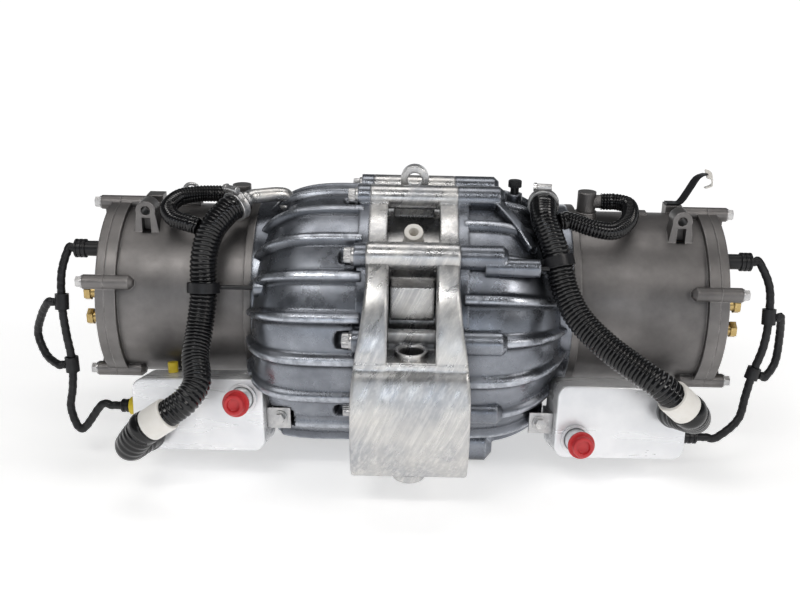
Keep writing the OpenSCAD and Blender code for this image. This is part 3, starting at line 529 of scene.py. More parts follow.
def piece(
    name: str, grids: Sequence[Array], finish: Finish,
    nodes: Sequence[str] = (), wear_and_painted_light: Optional[Array] = None,
) -> Thing:
    """One object from grids of points that close across their columns; each end ring gets a flat lid.

    Args:
        name: the object's name.
        grids: points by ring and angle, in millimetres from the motor axis.
        finish: what it is made of.
        nodes: CAD nodes that it stands for.
        wear_and_painted_light: painted light of each point of a single grid, from 1 for scuffing and a
            painted highlight down to -1 for painted shade.

    Returns:
        The object, riding on the housing.
    """
    points: list[Array] = []
    faces: list[list[int]] = []
    base = 0
    for grid in grids:
        rows, cols = grid.shape[:2]
        flat = grid.reshape(-1, 3)
        quads = grid_faces(rows, cols)
        if signed_volume(flat - flat.mean(axis=0), quads) < 0.0:
            flat = grid[:, ::-1].reshape(-1, 3)
            wear_and_painted_light = None if wear_and_painted_light is None else wear_and_painted_light[:, ::-1]
        first, last = np.arange(cols), (rows - 1) * cols + np.arange(cols)
        faces += (quads + base).tolist() + [(first + base).tolist(), (last[::-1] + base).tolist()]
        points.append(flat)
        base += rows * cols
    mesh = bpy.data.meshes.new(name)
    mesh.from_pydata(((np.vstack(points) + AXLE) * MM).tolist(), [], faces)
    mesh.polygons.foreach_set("use_smooth", np.ones(len(faces), bool))
    mesh.set_sharp_from_angle(angle=SHARP)
    mesh.materials.append(finish.material())
    if wear_and_painted_light is not None:
        kept = mesh.attributes.new(WEAR_AND_PAINTED_LIGHT, "FLOAT", "POINT")
        kept.data.foreach_set("value", wear_and_painted_light.astype(np.float32).ravel())
    mesh.update()
    obj = stand(name, mesh)
    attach(obj, BODY)
    if nodes:
        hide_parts(*nodes)
    log.info("%s: %d points, %d faces", name, len(mesh.vertices), len(mesh.polygons))
    return obj


def rounded_ends(length: float, radius: float, lip: float, turns: int = 5) -> Array:
    """Profile of a plain cylinder whose two rims are rounded by quarter circles of a lip radius.

    Args:
        length: of the cylinder, in millimetres.
        radius: of the cylinder.
        lip: radius of the rim rounding.
        turns: points of each quarter circle.

    Returns:
        Rows of distance along and radius.
    """
    q = np.linspace(0.0, math.pi / 2, turns)
    low = np.stack([lip - lip * np.cos(q), radius - lip + lip * np.sin(q)], axis=1)
    high = np.stack([length - low[::-1, 0], low[::-1, 1]], axis=1)
    return np.vstack([low, high])


# Routes of the hoses and leads, as in the part's source, in millimetres from the motor axis
LEFT_HOSE = [
    [-200, -50, 124], [-207, -59, 121], [-214, -68, 118], [-228, -92, 102], [-234, -112, 75],
    [-234, -124, 36], [-238, -136, 0], [-240, -156, -25], [-234, -180, -44], [-243, -196, -58],
    [-257, -200, -69], [-270.5, -198.5, -79], [-284, -197, -89],
]
RIGHT_HOSE = [
    [150, -42, 130], [149, -52, 129], [148, -62, 128], [148, -88, 118], [158, -118, 91],
    [169, -137, 54], [184, -156, 29], [211, -181, 8], [242, -206, -8], [262, -218, -18],
    [278, -218, -32], [286, -214.5, -40], [294, -211, -48],
]
LEFT_LOOP = [
    [-243.1, -88.5, 105.4], [-248.8, -87.2, 106.7], [-254.5, -85.9, 108], [-274, -76, 111],
    [-284, -54, 117], [-276, -30, 123], [-256, -17, 124], [-239, -14, 124], [-230.5, -14, 124],
    [-222, -14, 124],
]
RIGHT_LOOP = [
    [163.7, -86.1, 119.3], [169.6, -85.3, 119.8], [175.5, -84.6, 120.3], [203, -90, 113],
    [226, -85, 109], [243, -68, 113], [252, -44, 119], [252, -24, 123], [240, -14, 124],
    [231, -14, 124], [222, -14, 124],
]
LEFT_LEAD = [
    [-394.3, -62, 68], [-398, -62, 68], [-402, -62, 68], [-409, -74, 42], [-409, -84, 5],
    [-406, -88, -30], [-401, -92, -65], [-402, -97, -95], [-405, -101, -122], [-392, -107, -145],
]
RIGHT_LEAD = [
    [394.3, -62, 68], [399, -62, 68], [404, -62, 68], [415, -76, 42], [416, -86, 5],
    [413, -90, -28], [404, -93, -60], [398, -97, -88], [390, -105, -116],
]
LEFT_BRANCH = [
    [-417.4, -83.2, 8], [-421, -83.2, 8], [-425, -83.2, 8], [-438, -74, -12], [-448, -66, -40],
    [-436, -78, -62], [-418, -92, -68], [-414, -92, -68], [-410, -92, -68],
]
RIGHT_BRANCH = [
    [424.4, -85.2, 8], [427, -85.2, 8], [430, -85.2, 8], [434, -80, -18], [431, -86, -48],
    [419.4, -93, -64.3], [415.8, -93, -63.3], [412.1, -93, -62.3],
]
LEFT_PIPE = [
    [-150, -20, 112], [-150, -20, 119], [-153, -21.4, 125.5], [-163, -25.9, 127.8],
    [-180, -33.6, 127.8], [-191, -39, 127.4], [-199.8, -49.8, 124.1],
]
RIGHT_PIPE = [
    [150, -20, 112], [150, -20, 121], [150, -22.5, 129], [150.4, -31, 131.3], [150, -41.7, 130],
]
MOUNT_LINE = [
    [0, -142, 104], [0, -162, 94], [0, -182, 74], [0, -196, 54], [0, -206, 30], [0, -212, 10], [0, -215, -8],
    [0, -221.3, -20], [0, -228.2, -40], [0, -231.5, -58], [0, -231.5, -82], [0, -228.2, -100],
    [0, -221.3, -120], [0, -211.3, -138],
]
HOSE_R = 15.5
LOOP_R = 10.0
LEAD_R = 5.0
SEAT_GAP = 0.3
DOME_CENTRE = (-20.0, -14.0)
BOLT_RING = 151.0
BOLT_PHASE = 7.0
BOLT_COUNT = 10


@dataclass(frozen=True)
class CoolerFrame:
    """The tilted frame of one oil cooler, with the sizes of the part's source."""

    side: Side
    centre: Triple = (244.0, -142.0, -104.0)
    pitch: float = 12.0
    roll: float = 4.0
    yaw: float = 7.0
    width: float = 156.0
    height: float = 84.0
    corner: float = 14.0
    port: Pair = (54.0, 20.0)
    plug_height: Pair = (4.0, -20.0)

    def at(self, local: Vec | Array) -> Array:
        """Carries points of the cooler into the frame of the motor axis: roll and pitch, then yaw.

        Args:
            local: points with the face at y = 0 and the front towards -y, in millimetres.

        Returns:
            The same points from the motor axis.
        """
        return self.middle() + np.asarray(local, float) @ self.turn().T

    def local(self, points: Array) -> Array:
        """Carries points from the motor axis into the cooler's frame."""
        return (points - self.middle()) @ self.turn()

    def middle(self) -> Array:
        """Centre of the cooler's face from the motor axis."""
        return np.array(self.centre) * np.array([self.side.value, 1.0, 1.0])

    def turn(self) -> Array:
        """Rotation from the cooler's frame."""
        s = self.side.value
        return np.array(
            Matrix.Rotation(math.radians(s * self.yaw), 3, "Z")
            @ Matrix.Rotation(math.radians(s * self.roll), 3, "Y")
            @ Matrix.Rotation(math.radians(-self.pitch), 3, "X")
        )

    def port_at(self, which: int, out: float) -> Array:
        """A point in front of a port.

        Args:
            which: 1 for the hose port, -1 for the capped one.
            out: distance in front of the face.

        Returns:
            The point.
        """
        k = which * self.side.value
        return self.at([k * self.port[0], -out, k * self.port[1]])

    def plug_at(self, out: float) -> Array:
        """A point outside the lead plug's seat on the cooler's outer end."""
        s = self.side.value
        return self.at([s * (self.width / 2 + SEAT_GAP + out), 20.0, self.plug_height[(s + 1) // 2]])


@dataclass
class CorrugatedHose:
    """A ribbed plastic hose along a route."""

    node: str
    points: Points
    radius: float
    pitch: float
    depth: float
    up: Vec
    around: int = 40
    per_ridge: int = 8

    def build(self) -> Thing:
        """Radius less a groove that follows a raised cosine of the length over the pitch.

        Returns:
            The hose.
        """
        path = route(self.points, self.pitch / self.per_ridge)
        wave = 0.5 - 0.5 * np.cos(TAU * stations(path) / self.pitch)
        radius = self.radius - self.depth * (1.0 - wave**0.6)
        grid = tube_grid(path, even(radius, self.around), self.up)
        return piece(self.node + "_ribbed", [grid], FINISHES.hose, [self.node])


@dataclass
class RubberElbow:
    """The moulded elbow from a hose sleeve to the cooler's hose port, folded inside its bend."""

    cooler: CoolerFrame
    hose: Points
    middle: Triple
    radius: float = HOSE_R + 2.0
    fold: float = 1.1
    fold_pitch: float = 6.5
    collar: float = 1.6
    collar_len: float = 9.0
    stub: float = 12.0
    around: int = 56

    def points(self) -> list[Array]:
        """Route points from the end of the hose to the port."""
        q, d = np.array(self.hose[-1], float), unit(np.subtract(self.hose[-1], self.hose[-2]))
        lead_in = [q + k * d for k in (2.3, 7.0, 12.0)]
        k = self.cooler.side.value
        bend = np.array([k * self.cooler.port[0], -self.stub, k * self.cooler.port[1]]) + self.middle
        lead_out = [self.cooler.port_at(1, self.stub + g) for g in (12.0, 6.0, SEAT_GAP)]
        return lead_in + [self.cooler.at(bend)] + lead_out

    def build(self) -> Thing:
        """Radius plus a collar at both ends and folds that swell towards the inside of the bend.

        The folds are a sine of the length; their height grows with the share of each direction
        that points to the centre of the bend, and fades to nothing at the collars.

        Returns:
            The elbow.
        """
        path = route(self.points(), 0.6)
        s = stations(path)
        tangent = unit(np.gradient(path, axis=0))
        up = np.cross(tangent[0], tangent[-1])
        inward = unit(np.gradient(tangent, axis=0) + 1e-9)
        inside = np.clip(np.einsum("sak,sk->sa", rings(path, up, self.around), inward), 0.0, 1.0)
        near = np.minimum(s, s[-1] - s)
        fade = np.clip((near - self.collar_len) / 8.0, 0.0, 1.0)
        wave = np.sin(TAU * s / self.fold_pitch)
        folds = self.fold * fade[:, None] * (0.3 + 0.7 * inside) * wave[:, None]
        rise = np.clip((self.collar_len - near) / 1.5, 0.0, 1.0)
        collar = self.collar * rise * np.clip(near / 1.0, 0.4, 1.0)
        grid = tube_grid(path, self.radius + folds + collar[:, None], up)
        word = self.cooler.side.word
        return piece(word + "_elbow_moulded", [grid], FINISHES.rubber, [word + "_hose_elbow"])


@dataclass
class TapedLead:
    """A sensor lead wound with tape."""

    node: str
    points: Points
    radius: float = LEAD_R
    lap: float = 0.5
    pitch: float = 9.0
    up: Vec = (0.0, 1.0, 0.0)
    around: int = 28

    def build(self) -> Thing:
        """Radius that climbs by one tape thickness over each turn of a helix and then drops.

        Returns:
            The lead.
        """
        path = route(self.points, 0.8)
        turns = stations(path)[:, None] / self.pitch + circle(self.around)[None, :] / TAU
        share = turns % 1.0
        climb = np.minimum(share / 0.88, (1.0 - share) / 0.12)
        grid = tube_grid(path, self.radius - self.lap + self.lap * climb, self.up)
        return piece(self.node + "_taped", [grid], FINISHES.sheath, [self.node])


@dataclass
class Turned:
    """Pieces turned round an axis from one profile, with an optional knurl round their rims."""

    name: str
    axes: Sequence[tuple[Vec, Vec]]
    profile: Sequence[Pair] | Array
    finish: Finish
    slot: str
    nodes: Sequence[str] = ()
    teeth: int = 0
    tooth: float = 0.0
    knurled: Pair = (0.0, 0.0)
    around: int = 64

    def build(self) -> Thing:
        """Profile radius less a tooth depth times a raised cosine of the angle, over the knurled stretch.

        Returns:
            One object with every piece.
        """
        rows = np.asarray(self.profile, float)
        count = max(self.around, 6 * self.teeth)
        wave = 0.5 - 0.5 * np.cos(self.teeth * circle(count))
        cut = (rows[:, 0] >= self.knurled[0]) & (rows[:, 0] <= self.knurled[1])
        radius = rows[:, 1:] - self.tooth * cut[:, None] * wave[None, :]
        grids = [lathe_grid(a, b, rows[:, 0], radius) for a, b in self.axes]
        return piece(self.name, grids, self.finish, self.nodes)


@dataclass
class PipeStubs:
    """Bent metal pipes that the coolant hoses are pushed on, with a foot flange and a bead."""

    radius: float = 8.6
    around: int = 40
    flange: Pair = (4.0, 13.0)
    bead: Pair = (7.0, 1.3)

    def build(self) -> Thing:
        """Pipe radius, the flange radius below the flange height and a round bead before the hose.

        Returns:
            Both pipes.
        """
        grids = [self._pipe(points) for points in (LEFT_PIPE, RIGHT_PIPE)]
        return piece("bent_pipes", grids, FINISHES.cast_light, ["coolant_pipes"])

    def _pipe(self, points: Points) -> Array:
        """Grid of one pipe."""
        path = route(points, 0.5)
        s = stations(path)
        bulge = np.exp(-(((s[-1] - s - self.bead[0]) / 1.6) ** 2)) * self.bead[1]
        radius = np.where(s < self.flange[0], self.flange[1], self.radius + bulge)
        tangent = unit(np.gradient(path, axis=0))
        return tube_grid(path, even(radius, self.around), np.cross(tangent[0], tangent[-1]))


@dataclass
class CoolerFace:
    """The pressed front plate of a cooler, with a rolled edge."""

    cooler: CoolerFrame
    edge: Sequence[Pair] = ((0.3, -0.4), (0.3, 0.4), (0.6, 0.9), (1.2, 1.2), (2.0, 1.3))
    steps: int = 10

    def build(self) -> Thing:
        """Loops of a rectangle with quarter-circle corners, drawn in and lifted row by row.

        Returns:
            The plate.
        """
        q = np.linspace(0.0, math.pi / 2, self.steps)
        grid = np.stack([self._loop(q, inset, lift) for inset, lift in self.edge])
        word = self.cooler.side.word
        return piece(word + "_cooler_face", [self.cooler.at(grid)], FINISHES.cooler)

    def _loop(self, q: Array, inset: float, lift: float) -> Array:
        """One loop: four quarter circles about the corner centres."""
        r = self.cooler.corner - inset
        x, z = self.cooler.width / 2 - self.cooler.corner, self.cooler.height / 2 - self.cooler.corner
        turn = q[None, :] + np.arange(4)[:, None] * math.pi / 2
        mid = np.array([[x, z], [-x, z], [-x, -z], [x, -z]])[:, None, :]
        loop = mid + r * np.stack([np.cos(turn), np.sin(turn)], axis=-1)
        flat = loop.reshape(-1, 2)
        return np.stack([flat[:, 0], np.full(len(flat), -lift), flat[:, 1]], axis=-1)


@dataclass
class CastSkin:
    """The cast skin of a gear case: the dome, ribs with fillets and bolt pockets, over the plainer solid."""

    side: Side
    square: Pair
    reach: float
    first_rib: float
    pockets: bool
    radius: float = 151.2
    drop: float = 6.8
    start: float = 57.0
    root: float = 62.0
    ribs: int = 20
    rib_height: float = 6.6
    rib_half: float = 2.4
    fillet: float = 7.0
    sweep: float = 57.0
    pocket_r: float = 10.3
    pocket_end: Pair = (80.0, 96.0)
    pocket_rise: float = 30.0
    cooler_cut: float = 45.0
    rows: int = 68
    around: int = 960

    def build(self) -> Thing:
        """A super-ellipse turned about the dome's axis, swollen at the ribs, cut at bolts and cooler.

        A point of the meridian at angle f lies at reach times k sin f along the axis and radius times
        k cos f from it, where k is the sum of the n-th powers of cos f and sin f, to the power -1/n.
        The exponent n and the radius grow from the top of the case to its bottom. Each rib adds its
        height to reach and radius, times a smooth step of the distance from the rib's middle line.

        Returns:
            The skin.
        """
        turn = circle(self.around)[None, :]
        f = np.concatenate([[0.0], np.linspace(0.0, math.radians(self.sweep), self.rows)])[:, None]
        low = 0.5 - 0.5 * np.sin(turn)
        n = self.square[0] + (self.square[1] - self.square[0]) * low
        swell, wear_and_painted_light = self._ribs(turn)
        k = (np.cos(f) ** n + np.sin(f) ** n) ** (-1.0 / n)
        along = self.root + (self.reach - self.root + self.rib_height * swell) * k * np.sin(f)
        along[0] = self.start
        radius = (self.radius - self.drop * np.sin(turn) + self.rib_height * swell) * k * np.cos(f)
        if self.pockets:
            radius = np.minimum(radius, self._pocket_floor(turn, along))
        cut = self._at_cooler(self._points(turn, along, radius))
        radius = np.where(cut, radius - self.cooler_cut, radius)
        word = self.side.word
        grid = self._points(turn, along, radius)
        return piece(word + "_cast_skin", [grid], FINISHES.cast_dark, (), wear_and_painted_light + 0.0 * f)

    def _points(self, turn: Array, along: Array, radius: Array) -> Array:
        """Points from angle, distance along the axis and radius."""
        y, z = DOME_CENTRE
        return np.stack([
            self.side.value * along, y - radius * np.cos(turn), z + radius * np.sin(turn)
        ], axis=-1)

    def _ribs(self, turn: Array) -> tuple[Array, Array]:
        """Share of the rib's height at each angle, and the painted light: crests lighter for scuffing and as
        a painted highlight, feet darker as painted shade, most on the lower side.
        """
        step = TAU / self.ribs
        off = (turn - math.radians(self.first_rib) + step / 2) % step - step / 2
        d = self.radius * off
        t = np.clip((self.rib_half + self.fillet - np.abs(d)) / self.fillet, 0.0, 1.0)
        swell = t * t * (3.0 - 2.0 * t)
        # Painted highlight and scuffing on the rib crests.
        crest = np.clip((swell - 0.8) / 0.2, 0.0, 1.0)
        # Painted shade at the rib feet, stronger on the lower side under each rib.
        foot = np.exp(-(((d + 8.0) / 3.0) ** 2)) + 0.4 * np.exp(-(((d - 8.0) / 3.0) ** 2))
        return swell, 0.8 * crest - 0.8 * foot

    def _pocket_floor(self, turn: Array, along: Array) -> Array:
        """Radius under the bolt pockets: the ring less a circle's height, rising where they run out."""
        step = TAU / BOLT_COUNT
        d = BOLT_RING * ((turn - math.radians(BOLT_PHASE) + step / 2) % step - step / 2)
        deep = np.sqrt(np.clip(self.pocket_r**2 - d**2, 0.0, None))
        first, last = self.pocket_end
        run_out = self.pocket_rise * np.clip((along - first) / (last - first), 0.0, 1.0)
        return np.where(np.abs(d) < self.pocket_r, BOLT_RING - deep + run_out, np.inf)

    def _at_cooler(self, points: Array) -> Array:
        """Whether points lie in the room of the cooler and its tab."""
        x, y, z = np.moveaxis(CoolerFrame(self.side).local(points), -1, 0)
        x = x * self.side.value
        body = (x > -83.0) & (y > -2.0) & (np.abs(z) < 45.0)
        tab = (x > -110.0) & (x < 0.0) & (y > -14.0) & (y < 15.3) & (np.abs(z + 6.0) < 16.0)
        return body | tab


@dataclass
class MountSkin:
    """The rounded cast skin of the two arms and the mount snout, over the flats of their solid."""

    grow: float = 1.2
    rim: float = 3.6
    depth: float = 5.5
    half_widths: Sequence[Pair] = ((-34.0, 63.0), (-4.0, 60.0), (30.0, 54.0), (72.0, 49.0))
    even_out: int = 17
    window: float = 26.0
    ledge: float = -2.0
    corner_steps: int = 6
    step: float = 1.6

    def build(self) -> Thing:
        """Rounded rectangles set square to the snout's front line: one for each arm, one across the snout.

        The outer edge follows the half width at each height and is evened out along the line.
        Front corners are quarter circles of the rim. The arms sink under the snout's skin at their feet.

        Returns:
            Both arms and the snout.
        """
        path = route(MOUNT_LINE, self.step)
        z = path[:, 2]
        half = np.interp(z, *np.transpose(self.half_widths)) + self.grow
        k = self.even_out
        outer = np.convolve(np.pad(half, k // 2, mode="edge"), np.ones(k) / k, mode="valid")
        sunk = 2.0 * np.clip((-4.0 - z) / 6.0, 0.0, 1.0)
        arm, snout = z > -14.0, z < self.ledge
        wall = np.full_like(outer, self.window - 0.4)
        return piece("mount_skin", [
            self._loft(path[arm], wall[arm], outer[arm], sunk[arm]),
            self._loft(path[arm], -outer[arm], -wall[arm], sunk[arm]),
            self._loft(path[snout], -outer[snout], outer[snout], 0.0 * outer[snout]),
        ], FINISHES.cast_light)

    def _loft(self, path: Array, low: Array, high: Array, sunk: Array) -> Array:
        """Grid of one bar along the line.

        Args:
            path: stations of the line.
            low: its edge with the smaller x at each station.
            high: its other edge.
            sunk: how far its front lies under the skin.

        Returns:
            Points by station and corner angle.
        """
        tangent = unit(np.gradient(path, axis=0))
        out = np.stack([0.0 * low, tangent[:, 2], -tangent[:, 1]], axis=1)
        out = out * np.where(out[:, 1:2] > 0.0, -1.0, 1.0)
        q = np.linspace(0.0, math.pi / 2, self.corner_steps)[None, :]
        x = np.hstack([
            high[:, None] - self.rim * (1.0 - np.cos(q)), low[:, None] + self.rim * (1.0 - np.sin(q)),
            low[:, None], high[:, None],
        ])
        rise = self.grow - self.rim * np.hstack([1.0 - np.sin(q), 1.0 - np.cos(q)])
        lift = np.hstack([rise - sunk[:, None], np.full((len(low), 2), -self.depth)])
        return np.stack([x, 0 * x, 0 * x], axis=-1) + path[:, None, :] + lift[:, :, None] * out[:, None, :]


@dataclass
class BandClamps:
    """Worm-drive band clamps at the top ends of the coolant hoses."""

    start: float = 3.0
    width: float = 10.0
    radius: float = HOSE_R + 1.9
    lip: float = 0.6
    screw_r: float = 4.2
    screw_len: float = 17.0

    def build(self) -> Thing:
        """A band with rolled edges and, square to it, a screw housing with a six-sided head.

        Returns:
            Both clamps.
        """
        grids = [g for hose in (LEFT_HOSE, RIGHT_HOSE) for g in self._clamp(hose)]
        return piece("band_clamps", grids, FINISHES.zinc, ["hose_clamps"])

    def _clamp(self, hose: Points) -> list[Array]:
        """Grids of one clamp."""
        a, d = np.array(hose[0], float), unit(np.subtract(hose[1], hose[0]))
        w, r, e = self.width, self.radius, self.lip
        band = np.array([
            (0, r - 1.2), (0, r), (0.8, r + e), (1.8, r),
            (w - 1.8, r), (w - 0.8, r + e), (w, r), (w, r - 1.2),
        ])
        begin = a + self.start * d
        level = unit(np.cross(d, [0.0, 0.0, 1.0]))
        out = np.cross(level, d)
        mid = begin + w / 2 * d + (r + self.screw_r - 1.0) * out
        worm = rounded_ends(self.screw_len, self.screw_r, 1.0)
        head = rounded_ends(4.0, self.screw_r + 1.0, 0.5)
        low = mid - self.screw_len / 2 * level
        high = mid + self.screw_len / 2 * level
        return [
            lathe_grid(begin, begin + d, band[:, 0], even(band[:, 1], 56)),
            lathe_grid(low, high, worm[:, 0], even(worm[:, 1], 20)),
            lathe_grid(high, high + level, head[:, 0], even(head[:, 1], 6)),
        ]


def dress_nodes() -> None:
    """Puts its finish on each CAD object, by the node's name without the side."""
    for node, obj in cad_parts.items():
        finish = NODE_FINISHES[node.removeprefix("left_").removeprefix("right_")]
        obj.data.materials.clear()
        obj.data.materials.append(finish.material())


@dataclass
class Studio:
    """Floor, soft light and the camera at the photograph's angle."""

    lens_px: float = 1014.0
    frame_px: Pair = (800.0, 600.0)
    axle_px: Pair = (412.5, 291.0)
    distance: float = 1.265
    elevation: float = 20.5
    roll: float = 1.2
    sensor: float = 36.0
    floor_half: float = 40.0
    floor_glow: Pair = (0.50, 1.0)
    glow_reach: Pair = (0.5, 2.2)
    sky_glow: Pair = (1.0, 0.10)

    def build(self) -> None:
        """Makes the camera, the floor and the lights."""
        self._camera()
        self._floor()
        self._lights()

    def _camera(self) -> None:
        """Looks at the motor axis from the front; the small shift puts it at its pixel."""
        data = bpy.data.cameras.new("camera")
        data.sensor_width = self.sensor
        data.lens = self.sensor * self.lens_px / self.frame_px[0]
        data.shift_x = (self.frame_px[0] / 2 - self.axle_px[0]) / self.frame_px[0]
        data.shift_y = (self.axle_px[1] - self.frame_px[1] / 2) / self.frame_px[0]
        cam = stand("camera", data)
        e = math.radians(self.elevation)
        target = Vector(AXLE * MM)
        back = Vector((0.0, -math.cos(e), math.sin(e)))
        turn = back.to_track_quat("Z", "Y").to_matrix().to_4x4()
        spin = Matrix.Rotation(math.radians(self.roll), 4, "Z")
        cam.matrix_world = Matrix.Translation(target + back * self.distance) @ turn @ spin
        bpy.context.scene.camera = cam

    def _floor(self) -> None:
        """A wide pale floor just under the unit."""
        low = CAD_BOX[0][2] - 0.001
        mesh = bpy.data.meshes.new("floor")
        r = self.floor_half
        mesh.from_pydata([(-r, -r, low), (r, -r, low), (r, r, low), (-r, r, low)], [], [(0, 1, 2, 3)])
        mat = bpy.data.materials.new("floor")
        mat.use_nodes = True
        tree = NodeTree(mat.node_tree)
        place = tree.add("TexCoord").outputs["Object"]
        colour = tree.ramp(tree.noise(place, 3.0, 3.0, 0.5), [(0.3, (0.90,) * 3), (0.7, (0.94,) * 3)])
        far = tree.vector("DISTANCE", place, tree.place((0.0, 0.0, low)))
        tree.fill(tree.shader(), {
            "Base Color": colour, "Roughness": 0.9, "Emission Color": (1.0, 1.0, 1.0, 1.0),
            "Emission Strength": tree.remap(far, self.glow_reach, self.floor_glow),
        })
        mesh.materials.append(mat)
        floor = stand("floor", mesh)

    def _lights(self) -> None:
        """Large soft boxes over, beside and in front, and a sky that is palest at the horizon."""
        world = bpy.data.worlds.new("studio")
        bpy.context.scene.world = world
        world.use_nodes = True
        sky = NodeTree(world.node_tree)
        height = sky.add("SeparateXYZ", {"Vector": sky.add("TexCoord").outputs["Generated"]})
        sky.fill(world.node_tree.nodes["Background"], {
            "Color": (0.94, 0.97, 1.0, 1.0),
            "Strength": sky.remap(height.outputs["Z"], (0.03, 0.22), self.sky_glow),
        })
        self._box("key", (-0.7, -1.2, 1.7), (1.0, 0.6), 9.0, (1.0, 0.98, 0.95))
        self._box("fill", (1.3, -1.0, 1.1), (0.5, 0.8), 7.0, (1.0, 0.96, 0.92))
        self._box("top", (0.0, 0.4, 1.6), (1.8, 0.6), 8.0, (1.0, 0.98, 0.96))
        self._box("low", (0.0, -1.8, 0.35), (1.4, 0.25), 2.5, (0.86, 0.92, 1.0))
        self._box("strip", (0.0, -1.1, 1.5), (1.8, 0.06), 4.5, (1.0, 1.0, 1.0))
        bpy.context.scene.view_settings.view_transform = "Standard"

    def _box(self, name: str, at: Triple, size: Pair, power: float, colour: Triple) -> None:
        """One soft box aimed at the unit.

        Args:
            name: of the light.
            at: its place in metres.
            size: its width and height.
            power: in watts.
            colour: of the light.
        """
        data = bpy.data.lights.new(name, "AREA")
        data.shape = "RECTANGLE"
        data.size, data.size_y = size
        data.energy = power
        data.color = colour
        light = stand(name, data)
        aim = Vector((0.0, 0.12, 0.0)) - Vector(at)
        light.matrix_world = Matrix.Translation(at) @ aim.to_track_quat("-Z", "Y").to_matrix().to_4x4()


def hoses() -> list:
    """Hoses, elbows, pipes and clamps of the coolant lines."""
    left, right = CoolerFrame(Side.LEFT), CoolerFrame(Side.RIGHT)
    return [
        CorrugatedHose("left_coolant_hose", LEFT_HOSE, HOSE_R, 4.6, 1.5, (1, 0.2, 0)),
        CorrugatedHose("right_coolant_hose", RIGHT_HOSE, HOSE_R, 4.6, 1.5, (0.3, 0.9, 0.6)),
        CorrugatedHose("left_loop_hose", LEFT_LOOP, LOOP_R, 3.6, 1.1, (0, 0, 1), around=32),
        CorrugatedHose("right_loop_hose", RIGHT_LOOP, LOOP_R, 3.6, 1.1, (0, 0, 1), around=32),
        RubberElbow(left, LEFT_HOSE, (-8.0, -36.0, -4.0)),
        RubberElbow(right, RIGHT_HOSE, (6.0, -46.0, 4.0)),
        PipeStubs(),
        BandClamps(),
    ]


def skins() -> list:
    """Cooler faces and cast skins laid over their solids."""
    return [
        *(CoolerFace(CoolerFrame(side)) for side in Side),
        MountSkin(),
        CastSkin(Side.LEFT, (3.4, 5.5), 187.0, 16.0, True),
        CastSkin(Side.RIGHT, (2.65, 2.65), 185.0, 7.0, False),
    ]


def leads() -> list:
    """Sensor leads and their branches."""
    ends = {side: [CoolerFrame(side).plug_at(22.0 + g) for g in (26.0, 13.0, SEAT_GAP)] for side in Side}
    return [
        TapedLead("left_sensor_lead", [*LEFT_LEAD, *ends[Side.LEFT]]),
        TapedLead("right_sensor_lead", [*RIGHT_LEAD, *ends[Side.RIGHT]]),
        TapedLead("left_branch_lead", LEFT_BRANCH),
        TapedLead("right_branch_lead", RIGHT_BRANCH),
    ]


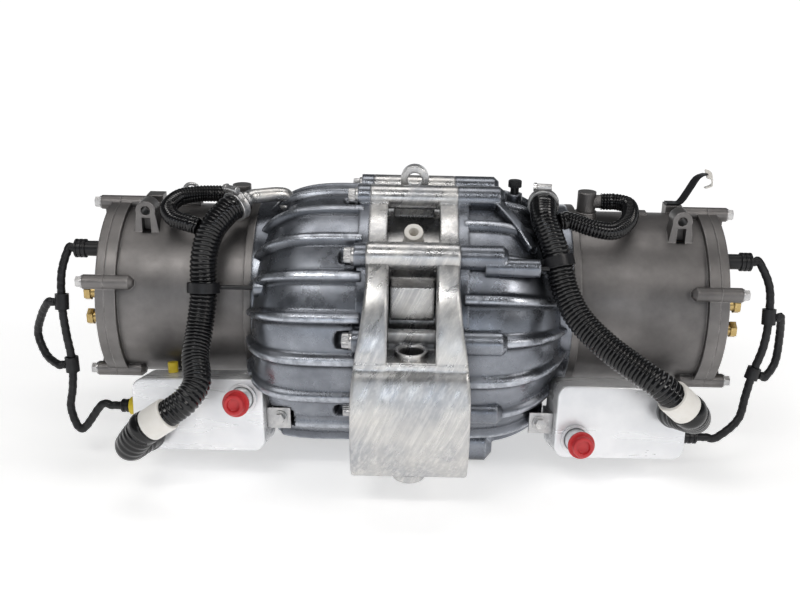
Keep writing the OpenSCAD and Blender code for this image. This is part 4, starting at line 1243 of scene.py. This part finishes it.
def fittings() -> list:
    """Turned fittings: sleeves, caps, level tube, bolt heads, breather, sockets and plugs."""
    return [
        Turned(
            "rounded_sleeves", [sleeve_axis(h) for h in (LEFT_HOSE, RIGHT_HOSE)],
            rounded_ends(28.0, HOSE_R + 3.0, 1.6), FINISHES.white, "white_plastic", ["hose_sleeves"],
        ),
        Turned(
            "dished_caps", [cap_axis(side) for side in Side],
            [(0, 14.6), (0.5, 15.5), (2.5, 15.5), (3, 15), (3, 12.2), (3.4, 12), (10.4, 11.8), (11.6, 11.2),
             (12, 10), (12, 8.4), (11.6, 7.6), (8.6, 6.8), (8, 5.6)],
            FINISHES.red, "red_plastic", ["port_caps"],
        ),
        Turned(
            "rounded_level_tube", [(tube_point(115.0), tube_point(140.0))],
            [(0, 11), (23.4, 11), (24.6, 10.6), (25, 9.8), (25, 6.4), (24.6, 5.6), (23.6, 5.2), (6, 5)],
            FINISHES.white, "white_plastic", ["level_tube"],
        ),
        Turned(
            "serrated_heads", [bolt_axis(k) for k in range(BOLT_COUNT)],
            [(0, 10.2), (2.6, 10.2), (3.4, 9.6), (3.5, 8.6), (3.6, 8.6), (10.4, 8.6), (11, 8.0), (11.2, 6.6)],
            FINISHES.zinc, "bolt_steel", ["case_bolts"], 24, 0.9, (3.5, 10.4),
        ),
        Turned(
            "cross_tube", [((-51, -152, 97), (51, -152, 97))], rounded_ends(102.0, 15.0, 3.0),
            FINISHES.cast_light, "cast_light",
        ),
        Turned(
            "ribbed_breather", [((118, -22, 134), (118, -22, 150))],
            [(0, 5), (8, 5), (8, 7.6), (8.4, 8), (15, 8), (15.7, 7.4), (16, 6)],
            FINISHES.plastic, "black_plastic", ["breather_cap"], 20, 0.7, (8.4, 15.0),
        ),
        Turned(
            "ribbed_sockets", [((s * 358, -62, 68), (s * 394, -62, 68)) for s in (-1, 1)],
            [(0, 9), (23, 9), (23.2, 11), (26, 11), (26.3, 9.8), (28, 9.8), (28.3, 11), (31, 11), (31.3, 9.8),
             (33, 9.8), (33.3, 11), (35.4, 11), (36, 10.2)],
            FINISHES.plastic, "black_plastic", ["sensor_sockets"],
        ),
        Turned(
            "ribbed_plugs", [plug_axis(side) for side in Side],
            [(0, 8), (9, 8), (9.2, 7), (12, 7), (12.2, 8), (15, 8), (15.2, 7), (18, 7), (18.2, 8), (21, 8),
             (22, 6.6)],
            FINISHES.plastic, "black_plastic", ["lead_plugs"],
        ),
    ]


def sleeve_axis(hose: Points) -> tuple[Array, Array]:
    """Axis of the sleeve over the lower end of a hose."""
    end, d = np.array(hose[-1], float), unit(np.subtract(hose[-1], hose[-2]))
    return end - 26.0 * d, end + 2.0 * d


def cap_axis(side: Side) -> tuple[Array, Array]:
    """Axis of the protective cap on a cooler's free port."""
    cooler = CoolerFrame(side)
    return cooler.port_at(-1, 24.0), cooler.port_at(-1, 36.0)


def plug_axis(side: Side) -> tuple[Array, Array]:
    """Axis of the lead plug on the outer end of a cooler."""
    cooler = CoolerFrame(side)
    return cooler.plug_at(0.0), cooler.plug_at(22.0)


def tube_point(distance: float, angle: float = 49.0) -> Array:
    """A point of the level tube's axis, radial from the motor axis."""
    return distance * np.array([0.0, -math.cos(math.radians(angle)), math.sin(math.radians(angle))])


def bolt_axis(k: int, seat: float = 65.0) -> tuple[Array, Array]:
    """Axis of a case bolt's head, from its seat on the left gear case outwards.

    Args:
        k: number of the bolt.
        seat: distance of the seat from the mid-plane.

    Returns:
        The seat and a point outside it.
    """
    a = math.radians(BOLT_PHASE + 360.0 / BOLT_COUNT * k)
    y, z = DOME_CENTRE
    at = np.array([-seat, y - BOLT_RING * math.cos(a), z + BOLT_RING * math.sin(a)])
    return at, at + np.array([-1.0, 0.0, 0.0])


def main() -> None:
    """Builds the studio and dresses every piece."""
    logging.basicConfig(level=logging.INFO, format="%(name)s: %(message)s")
    Studio().build()
    dress_nodes()
    for assembly in hoses() + skins() + leads() + fittings():
        assembly.build()


if __name__ == "__main__":
    main()
